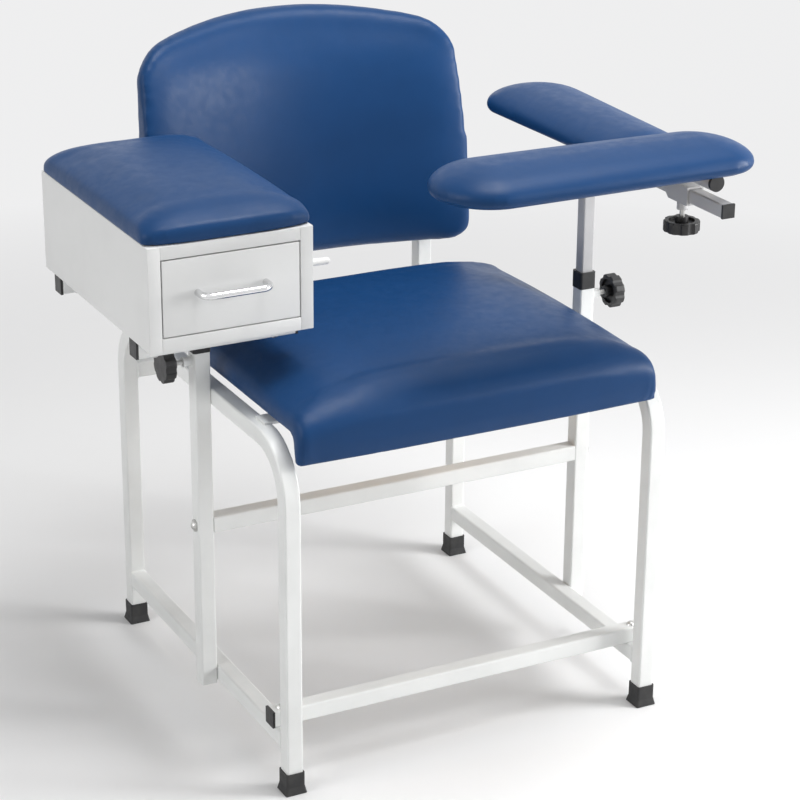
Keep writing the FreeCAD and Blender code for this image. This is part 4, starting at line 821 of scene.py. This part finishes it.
@dataclass
class Hem:
    """The vinyl folded under a board and stapled down."""

    name: str
    board: str
    pad: str
    body: Body
    under: Point = DOWN
    width: float = 0.018
    thick: float = 0.0011
    outside: float = 0.003
    grip: float = 0.0015
    tuck: float = 0.0012
    sink: float = 0.0004
    ragged: float = 0.10
    ragged_waves: float = 60.0
    staple_gap: float = 0.032
    step: float = 0.006
    above: float = 0.05
    staple_place: float = 0.6
    staple_half: float = 0.0048
    staple_reach: float = 0.0055
    staple_rise: float = 0.0004
    staple_bite: float = 0.0006
    staple_wire: float = 0.00055
    staple_tilt: float = 0.25
    tilt_waves: float = 300.0
    bare: Optional[tuple[Point, Point]] = None

    def outline(self) -> tuple[list[Vector], Vector]:
        """Gives the board's outline seen from under it, evenly spaced, and the way that it faces."""
        down = Vector(self.under).normalized()
        across = Vector((1.0, 0.0, 0.0))
        along = down.cross(across)
        places = [v.co for v in frame["nodes"][self.board].data.vertices]
        flat = sorted({(round(co.dot(across), 6), round(co.dot(along), 6)) for co in places})
        hull: list[tuple[float, float]] = []
        for turn in (flat, flat[::-1]):
            start = len(hull)
            for p in turn:
                while len(hull) >= start + 2 and self.cross(hull[-2], hull[-1], p) <= 0:
                    hull.pop()
                hull.append(p)
            hull.pop()
        far = max(co.dot(down) for co in places) + self.above
        return self.even([across * a + along * b + down * far for a, b in hull], self.step), down

    @staticmethod
    def cross(a: Sequence[float], b: Sequence[float], c: Sequence[float]) -> float:
        """Gives twice the signed area of three points."""
        return (b[0] - a[0]) * (c[1] - a[1]) - (b[1] - a[1]) * (c[0] - a[0])

    @staticmethod
    def even(ring: Sequence[Vector], step: float) -> list[Vector]:
        """Spaces points evenly along a ring.

        Args:
            ring: Its corners.
            step: The distance between points.

        Returns:
            The spaced points.
        """
        lengths = [(ring[(i + 1) % len(ring)] - p).length for i, p in enumerate(ring)]
        total = sum(lengths)
        count = max(12, round(total / step))
        found, i, walked = [], 0, 0.0
        for k in range(count):
            target = total * k / count
            while walked + lengths[i] < target:
                walked += lengths[i]
                i += 1
            share = (target - walked) / lengths[i]
            found.append(ring[i].lerp(ring[(i + 1) % len(ring)], share))
        return found

    def build(self, palette: Palette) -> list[bpy.types.Object]:
        """Makes the hem and its staples.

        Args:
            palette: The finishes.

        Returns:
            The two pieces.
        """
        ring, down = self.outline()
        count = len(ring)
        outward = [(ring[(i + 2) % count] - ring[i - 2]).cross(down).normalized() for i in range(count)]
        middle = sum(ring, Vector()) / count
        if (ring[0] - middle).dot(outward[0]) < 0:
            outward = [-way for way in outward]
        wood, foam = MeshKit.tree(self.board), MeshKit.tree(self.pad)

        def on_board(place: Vector, lift: float) -> Vector:
            casts = (tree.ray_cast(place, -down)[0] for tree in (wood, foam))
            hits = [hit for hit in casts if hit is not None]
            found = max(hits, key=lambda hit: hit.dot(down)) if hits else place - down * self.above
            return found + down * lift

        strip = bmesh.new()
        rows = []
        for i, point in enumerate(ring):
            cut = self.width * (1.0 + self.ragged * noise.noise(point * self.ragged_waves))
            tucked = on_board(point + outward[i] * self.outside, -self.tuck)
            edge = on_board(point - outward[i] * self.grip, self.thick) + outward[i] * self.grip
            bend = edge + outward[i] * (self.outside * 0.5) - down * self.thick * 0.2
            section = (
                (cut * 0.5, self.thick), (cut - 0.001, self.thick),
                (cut, self.thick * 0.5), (cut, -self.sink),
            )
            inner = [on_board(point - outward[i] * away, lift) for away, lift in section]
            rows.append([strip.verts.new(place) for place in (tucked, bend, edge, *inner)])
        for i in range(count):
            first, second = rows[i], rows[(i + 1) % count]
            for k in range(len(first)):
                j = (k + 1) % len(first)
                strip.faces.new((first[k], second[k], second[j], first[j]))
        made = [MeshKit.publish(self.name, strip, self.body, Slot.VINYL, palette, HEM_ANGLE)]
        staples = bmesh.new()
        every = max(1, round(self.staple_gap / self.step))
        for i in range(0, count, every):
            inward = -outward[i]
            place = on_board(ring[i] + inward * self.width * self.staple_place, self.thick)
            if self.bare and all(a <= b <= c for a, b, c in zip(self.bare[0], place, self.bare[1])):
                continue
            tilt = self.staple_tilt * noise.noise(place * self.tilt_waves)
            along = (inward.cross(down) + inward * tilt).normalized()
            leg, crown = along * self.staple_reach, along * self.staple_half
            bite, rise = down * self.staple_bite, down * self.staple_rise
            path = [place - leg - bite, place - crown + rise, place + crown + rise, place + leg - bite]
            MeshKit.sweep(staples, path, self.staple_wire, False, 6)
        made.append(MeshKit.publish(self.name + "_staples", staples, self.body, Slot.ZINC, palette))
        return made


# Joinery


@dataclass(frozen=True)
class Board:
    """A laminated board of the cabinet with softened edges, in place of the frame's sharp one."""

    node: str
    body: Body
    bevel: float = 0.0006

    def build(self, palette: Palette) -> bpy.types.Object:
        """Makes the board over its node's box.

        Args:
            palette: The finishes.

        Returns:
            The board.
        """
        low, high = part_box(self.node)
        shape = bmesh.new()
        MeshKit.box(shape, low, high, self.bevel, 3)
        piece = MeshKit.publish(self.node + "_laminated", shape, self.body, Slot.LAMINATE, palette)
        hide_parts(self.node)
        return piece


@dataclass(frozen=True)
class Weld:
    """One weld bead: a ring round a tube's end."""

    centre: Point
    half: float
    axis: Axis
    bead: float = 0.0016
    corner: float = 0.003
    step: float = 0.0022
    ripple: float = 0.35

    def add_to(self, shape: bmesh.types.BMesh) -> None:
        """Adds the ring round a square tube.

        Args:
            shape: The bmesh to add to.
        """
        flat = [i for i in range(3) if i != self.axis.value]
        path = []
        for turn in range(4):
            start = math.pi / 2 * turn
            for k in range(5):
                angle = start + math.pi / 2 * k / 4
                point = Vector(self.centre)
                for place, reach in zip(flat, (math.cos(angle), math.sin(angle))):
                    way = math.cos if place == flat[0] else math.sin
                    sign = 1.0 if way(start + math.pi / 4) > 0 else -1.0
                    point[place] += sign * (self.half - self.corner) + reach * self.corner
                path.append(point)
        MeshKit.sweep(shape, Hem.even(path, self.step), self.bead, True, 8, self.ripple)


@dataclass(frozen=True)
class WeldedFrame:
    """The chair's tube frame: its weld beads."""

    tube: float = 0.020
    boss: float = 0.006
    boss_bead: float = 0.0014
    boss_ripple: float = 0.3
    boss_points: int = 24
    mast_bead: float = 0.0008

    def build(self, palette: Palette) -> list[bpy.types.Object]:
        """Makes the beads of each welded body.

        Args:
            palette: The finishes.

        Returns:
            The bead pieces.
        """
        half = self.tube / 2
        made = []
        shape = bmesh.new()
        for rail in ("left_lower_rail", "right_lower_rail"):
            low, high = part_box(rail)
            middle = (low + high) / 2
            for end in (low.y, high.y):
                Weld((middle.x, end, middle.z), half, Axis.Y).add_to(shape)
        low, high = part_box("rear_cross_tube")
        middle = (low + high) / 2
        for end in (low.x, high.x):
            Weld((end, middle.y, middle.z), half, Axis.X).add_to(shape)
        for upright in UPRIGHTS:
            low_up, high_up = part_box(upright)
            Weld(((low_up.x + high_up.x) / 2, middle.y, low_up.z), half, Axis.Z).add_to(shape)
        low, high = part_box("knob_bosses")
        middle = (low + high) / 2
        for post in ("left_post", "right_post"):
            low_post, high_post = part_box(post)
            face = low_post.x if low_post.x < middle.x - 0.1 else high_post.x
            ring = [Vector((face, middle.y + self.boss * math.cos(a), middle.z + self.boss * math.sin(a)))
                    for a in (2 * math.pi * k / self.boss_points for k in range(self.boss_points))]
            MeshKit.sweep(shape, ring, self.boss_bead, True, 8, self.boss_ripple)
        white, grey = Slot.WHITE_PAINT, Slot.GREY_PAINT
        made.append(MeshKit.publish("frame_weld_beads", shape, Body.CHAIR, white, palette, BEAD_ANGLE))
        shape = bmesh.new()
        low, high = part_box("carrier_beam")
        middle = (low + high) / 2
        for end in (low.y, high.y):
            Weld((middle.x, end, middle.z), half, Axis.Y).add_to(shape)
        name = "cabinet_carrier_weld_beads"
        made.append(MeshKit.publish(name, shape, Body.CABINET, white, palette, BEAD_ANGLE))
        for mast, body in (("cabinet_mast", Body.CABINET), ("arm_mast", Body.ARM)):
            low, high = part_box(mast)
            shape = bmesh.new()
            top = ((low.x + high.x) / 2, (low.y + high.y) / 2, high.z)
            Weld(top, (high.x - low.x) / 2, Axis.Z, self.mast_bead).add_to(shape)
            made.append(MeshKit.publish(mast + "_weld_bead", shape, body, grey, palette, BEAD_ANGLE))
        return made


@dataclass(frozen=True)
class PanHead:
    """A cross recessed screw head with a washer."""

    radius: float = 0.0042
    high: float = 0.0024
    washer: float = 0.0

    def add_to(self, shape: bmesh.types.BMesh, place: Vector, axis: Vector) -> None:
        """Adds the head.

        Args:
            shape: The bmesh to add to.
            place: Where the head's base sits.
            axis: The way that it faces.
        """
        base = 0.0
        if self.washer:
            base = 0.001
            MeshKit.turned(shape, [(self.washer - 0.0003, -0.0004), (self.washer, 0.0), (self.washer, 0.0007),
                                   (self.washer - 0.0003, base)], place, axis)
        r, h = self.radius, self.high
        MeshKit.turned(shape, [(r, base - 0.0004), (r, base + h * 0.35), (r * 0.93, base + h * 0.66),
                               (r * 0.74, base + h * 0.88), (r * 0.42, base + h * 0.99), (r * 0.36, base + h),
                               (r * 0.30, base + h * 0.55), (r * 0.08, base + h * 0.45)], place, axis)


@dataclass(frozen=True)
class Hardware:
    """Small fasteners and caps that hold the boards and close the tubes."""

    lean: float = math.radians(BACK_LEAN)
    half: float = 0.010
    cap_low: float = -0.0002
    cap_high: float = 0.0028
    cap_edge: float = 0.0012
    bolt_downs: Sequence[float] = (0.030, 0.150)
    seat_edge: float = 0.012
    seat_end: float = 0.06
    tube_end: float = 0.022
    plate_edge: float = 0.012
    plate_run: float = 0.075
    plate_sink: float = 0.003

    def upright_end(self, upright: str) -> Vector:
        """Gives the middle of an upright's upper end.

        Args:
            upright: The upright's node.

        Returns:
            The point.
        """
        low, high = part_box(upright)
        return Vector(((low.x + high.x) / 2, high.y - self.half * math.cos(self.lean),
                       high.z - self.half * math.sin(self.lean)))

    def upright_caps(self, palette: Palette) -> bpy.types.Object:
        """Makes the black caps in the back uprights' upper ends."""
        shape = bmesh.new()
        low = Vector((-self.half, -self.half, self.cap_low))
        high = Vector((self.half, self.half, self.cap_high))
        for upright in UPRIGHTS:
            turn = Matrix.Translation(self.upright_end(upright)) @ Matrix.Rotation(-self.lean, 4, "X")
            MeshKit.box(shape, low, high, self.cap_edge, 3, turn)
        return MeshKit.publish("upright_end_caps", shape, Body.CHAIR, Slot.BLACK_PLASTIC, palette)

    def back_bolts(self, palette: Palette) -> bpy.types.Object:
        """Makes the heads of the bolts through the uprights into the back board."""
        shape = bmesh.new()
        up = Vector((0.0, math.sin(self.lean), math.cos(self.lean)))
        rear = Vector((0.0, math.cos(self.lean), -math.sin(self.lean)))
        for upright in UPRIGHTS:
            for down in self.bolt_downs:
                place = self.upright_end(upright) - up * down + rear * self.half
                PanHead(0.0058, 0.0034, 0.0078).add_to(shape, place, rear)
        return MeshKit.publish("back_board_bolts", shape, Body.CHAIR, Slot.ZINC, palette)

    def seat_screws(self, palette: Palette) -> bpy.types.Object:
        """Makes the screws through the seat bars into the seat board."""
        shape = bmesh.new()
        low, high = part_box("seat_bars")
        down = Vector(DOWN)
        for y in (low.y + self.seat_edge, high.y - self.seat_edge):
            for x in (low.x + self.seat_end, (low.x + high.x) / 2, high.x - self.seat_end):
                PanHead(0.0045, 0.0026).add_to(shape, Vector((x, y, low.z)), down)
        return MeshKit.publish("seat_bar_screws", shape, Body.CHAIR, Slot.ZINC, palette)

    def cabinet_screws(self, palette: Palette) -> bpy.types.Object:
        """Makes the screws through the support tubes into the cabinet's bottom."""
        shape = bmesh.new()
        down = Vector(DOWN)
        for tube in ("front_support_tube", "rear_support_tube"):
            low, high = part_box(tube)
            for x in (low.x + self.tube_end, high.x - self.tube_end):
                PanHead(0.0045, 0.0026, 0.006).add_to(shape, Vector((x, (low.y + high.y) / 2, low.z)), down)
        return MeshKit.publish("cabinet_screws", shape, Body.CABINET, Slot.ZINC, palette)

    def plate_screws(self, palette: Palette) -> bpy.types.Object:
        """Makes the screws through the front arm's plate into its board."""
        shape = bmesh.new()
        low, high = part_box("front_arm_plate")
        down = Vector(DOWN)
        for x in (low.x + self.plate_edge, low.x + self.plate_run):
            for y in (low.y + self.plate_edge, high.y - self.plate_edge):
                PanHead(0.0042, 0.0024).add_to(shape, Vector((x, y, high.z - self.plate_sink)), down)
        return MeshKit.publish("front_plate_screws", shape, Body.FRONT_ARM, Slot.ZINC, palette)

    def build(self, palette: Palette) -> list[bpy.types.Object]:
        """Makes all the hardware.

        Args:
            palette: The finishes.

        Returns:
            The pieces.
        """
        return [self.upright_caps(palette), self.back_bolts(palette), self.seat_screws(palette),
                self.cabinet_screws(palette), self.plate_screws(palette)]


@dataclass(frozen=True)
class SideCabinet:
    """The cabinet's laminated boards and the drawer's."""

    fixed: Sequence[str] = (
        "cabinet_left_side", "cabinet_right_side", "cabinet_bottom", "cabinet_top_panel", "cabinet_back",
    )
    sliding: Sequence[str] = ("drawer_front", "drawer_back")

    def build(self, palette: Palette) -> list[bpy.types.Object]:
        """Makes the boards.

        Args:
            palette: The finishes.

        Returns:
            The boards.
        """
        boards = [Board(node, Body.CABINET) for node in self.fixed]
        boards += [Board(node, Body.DRAWER) for node in self.sliding]
        return [board.build(palette) for board in boards]


@dataclass
class Upholstery:
    """All the pads, swollen together in one run of the cloth solver."""

    frames: int = SWELL_FRAMES

    def __post_init__(self) -> None:
        """Lists the pads and the hems under their boards."""
        lean = math.radians(BACK_LEAN)
        rear = (0.0, math.cos(lean), -math.sin(lean))
        folds = (Pucker((-0.2041, -0.2522, 0.405), 0.05), Pucker((0.2559, -0.2522, 0.405), 0.05))
        self.cushions = [
            Cushion("seat_pad", "seat_cushion", Body.CHAIR, "seat_board", DOWN, 0.005, puckers=folds),
            Cushion("backrest_pad", "back_cushion", Body.CHAIR, "back_board", rear, 0.005),
            Cushion("cabinet_pad", "cabinet_top_pad", Body.CABINET, "cabinet_top_panel", DOWN, 0.004),
            Cushion("rear_arm_rest", "rear_arm_pad", Body.ARM, "rear_arm_board", DOWN, 0.004),
            Cushion("front_arm_rest", "front_arm_pad", Body.FRONT_ARM, "front_arm_board", DOWN, 0.004),
        ]
        self.hems = [
            Hem("seat_hem", "seat_board", "seat_cushion", Body.CHAIR, width=0.024),
            Hem("backrest_hem", "back_board", "back_cushion", Body.CHAIR, rear, 0.024),
            Hem("rear_arm_hem", "rear_arm_board", "rear_arm_pad", Body.ARM, width=0.014),
            Hem("front_arm_hem", "front_arm_board", "front_arm_pad", Body.FRONT_ARM, width=0.014,
                bare=((0.27, -0.268, 0.6), (0.33, -0.2, 0.75))),
        ]

    def build(self, palette: Palette) -> list[bpy.types.Object]:
        """Makes the pads and hems.

        Args:
            palette: The finishes.

        Returns:
            The pieces.
        """
        for cushion in self.cushions:
            cushion.remesh()
        for cushion in self.cushions:
            cushion.blow_up()
        for step in range(1, self.frames + 1):
            bpy.context.scene.frame_set(step)
        made = [cushion.close(palette) for cushion in self.cushions]
        bpy.context.scene.frame_set(1)
        for hem in self.hems:
            made += hem.build(palette)
        return made


# Studio


@dataclass(frozen=True)
class Lamp:
    """A soft box."""

    name: str
    place: Point
    aim: Point
    size: tuple[float, float]
    power: float

    def build(self) -> bpy.types.Object:
        """Hangs the lamp."""
        data = bpy.data.lights.new(self.name, "AREA")
        data.shape = "RECTANGLE"
        data.size, data.size_y = self.size
        data.energy = self.power
        lamp = bpy.data.objects.new(self.name, data)
        bpy.context.scene.collection.objects.link(lamp)
        lamp.location = self.place
        lamp.rotation_euler = (Vector(self.aim) - Vector(self.place)).to_track_quat("-Z", "Y").to_euler()
        return lamp


@dataclass(frozen=True)
class Studio:
    """A pale floor, a white surround, soft boxes and the camera at the photograph's angle."""

    eye: Point = (-1.21726, -2.44878, 1.44326)
    ahead: Point = (0.4261, 0.8266, -0.3677)
    right: Point = (0.8901, -0.4558, 0.0068)
    lens: float = 109.586
    sensor: float = 36.0
    floor_half: float = 14.0
    fade_span: tuple[float, float] = (0.75, 2.1)
    glow: float = 0.24
    lamps: Sequence[Lamp] = (
        Lamp("right_box", (1.9, -1.15, 1.0), (0.0, 0.0, 0.6), (0.8, 1.0), 50.0),
        Lamp("top_box", (0.35, -0.35, 2.5), (0.0, 0.0, 0.45), (1.3, 1.0), 40.0),
        Lamp("left_box", (-2.6, -0.4, 1.5), (0.0, 0.0, 0.5), (1.5, 1.5), 25.0),
    )

    def camera(self) -> bpy.types.Object:
        """Sets the camera."""
        data = bpy.data.cameras.new("camera")
        data.sensor_width = self.sensor
        data.lens = self.lens
        eye = bpy.data.objects.new("camera", data)
        bpy.context.scene.collection.objects.link(eye)
        ahead = Vector(self.ahead).normalized()
        right = (Vector(self.right) - ahead * Vector(self.right).dot(ahead)).normalized()
        up = right.cross(ahead)
        turn = Matrix((right, up, -ahead)).transposed()
        eye.matrix_world = Matrix.Translation(self.eye) @ turn.to_4x4()
        bpy.context.scene.camera = eye
        return eye

    def floor(self) -> bpy.types.Object:
        """Lays the floor."""
        shape = bmesh.new()
        bmesh.ops.create_grid(shape, x_segments=2, y_segments=2, size=self.floor_half)
        mesh = bpy.data.meshes.new("floor")
        shape.to_mesh(mesh)
        shape.free()
        floor = bpy.data.objects.new("floor", mesh)
        floor.location.z = -0.0005
        bpy.context.scene.collection.objects.link(floor)
        sheet = NodeSheet("pale_floor")
        sheet.finish(
            sheet.tint(sheet.noise(3.0, 3.0), (0.86, 0.86, 0.86), (0.84, 0.84, 0.845)),
            sheet.span(sheet.noise(30.0, 3.0), 0.3, 0.7, 0.55, 0.65),
            sheet.bump(sheet.noise(400.0, 2.0), 0.00002, 0.5),
        )
        self.fade(sheet)
        mesh.materials.append(sheet.material)
        return floor

    @staticmethod
    def plain_view(tree: bpy.types.NodeTree) -> Socket:
        """Picks the rays that show the backdrop as it is.

        Args:
            tree: The material's or world's nodes.

        Returns:
            1 for the camera's own rays and for those in metal and glass, and otherwise 0.
        """
        ray = tree.nodes.new("ShaderNodeLightPath")
        shown = ray.outputs["Is Camera Ray"]
        for name in ("Is Glossy Ray", "Is Transmission Ray"):
            either = tree.nodes.new("ShaderNodeMath")
            either.operation = "MAXIMUM"
            tree.links.new(shown, either.inputs[0])
            tree.links.new(ray.outputs[name], either.inputs[1])
            shown = either.outputs[0]
        return shown

    def fade(self, sheet: NodeSheet) -> None:
        """Shows the floor pale away from the chair, and keeps its shadow near it.

        Args:
            sheet: The floor's material.
        """
        reach = sheet.add("ShaderNodeVectorMath", operation="LENGTH")
        sheet.join(sheet.place, reach.inputs[0])
        far = sheet.span(reach.outputs["Value"], *self.fade_span, 0.0, 1.0)
        both = sheet.add("ShaderNodeMath", operation="MULTIPLY")
        sheet.join(far, both.inputs[0])
        sheet.join(self.plain_view(sheet.material.node_tree), both.inputs[1])
        pale = sheet.add("ShaderNodeEmission")
        pale.inputs["Color"].default_value = (0.86, 0.86, 0.865, 1.0)
        mix = sheet.add("ShaderNodeMixShader")
        sheet.join(both.outputs[0], mix.inputs["Fac"])
        sheet.join(sheet.shader.outputs["BSDF"], mix.inputs[1])
        sheet.join(pale.outputs["Emission"], mix.inputs[2])
        sheet.join(mix.outputs["Shader"], sheet.nodes["Material Output"].inputs["Surface"])

    def surround(self) -> None:
        """Lights the world, and shows it white to the camera and in metal and glass."""
        world = bpy.data.worlds.new("surround")
        bpy.context.scene.world = world
        world.use_nodes = True
        nodes, links = world.node_tree.nodes, world.node_tree.links
        nodes.clear()
        light = nodes.new("ShaderNodeBackground")
        light.inputs["Color"].default_value = (1.0, 1.0, 1.0, 1.0)
        light.inputs["Strength"].default_value = self.glow
        shown = nodes.new("ShaderNodeBackground")
        shown.inputs["Color"].default_value = (1.0, 1.0, 1.0, 1.0)
        shown.inputs["Strength"].default_value = 1.0
        mix = nodes.new("ShaderNodeMixShader")
        out = nodes.new("ShaderNodeOutputWorld")
        links.new(self.plain_view(world.node_tree), mix.inputs["Fac"])
        links.new(light.outputs[0], mix.inputs[1])
        links.new(shown.outputs[0], mix.inputs[2])
        links.new(mix.outputs[0], out.inputs["Surface"])

    def build(self) -> None:
        """Sets the whole studio."""
        self.surround()
        self.floor()
        self.camera()
        for lamp in self.lamps:
            lamp.build()
        bpy.context.scene.view_settings.view_transform = "Standard"


# The whole


def clear_stock() -> None:
    """Removes what a new Blender file holds besides the frame."""
    for thing in list(bpy.data.objects):
        if thing.type in ("MESH", "LIGHT", "CAMERA") and "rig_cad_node" not in thing:
            bpy.data.objects.remove(thing)


def main() -> None:
    """Builds each sub-assembly in order."""
    logging.basicConfig(level=logging.INFO, format="%(message)s")
    clear_stock()
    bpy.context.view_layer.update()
    palette = Palette()
    LOG.info("dressed %d nodes of the frame", palette.dress_frame())
    builders: Sequence[tuple[str, Callable[[Palette], list[bpy.types.Object]]]] = (
        ("welded frame", WeldedFrame().build),
        ("side cabinet", SideCabinet().build),
        ("hardware", Hardware().build),
        ("upholstery", Upholstery().build),
    )
    for name, build in builders:
        for piece in build(palette):
            LOG.info("%s: %s, %d faces", name, piece.name, len(piece.data.polygons))
    Studio().build()
    bpy.context.view_layer.update()


if __name__ == "__main__":
    main()
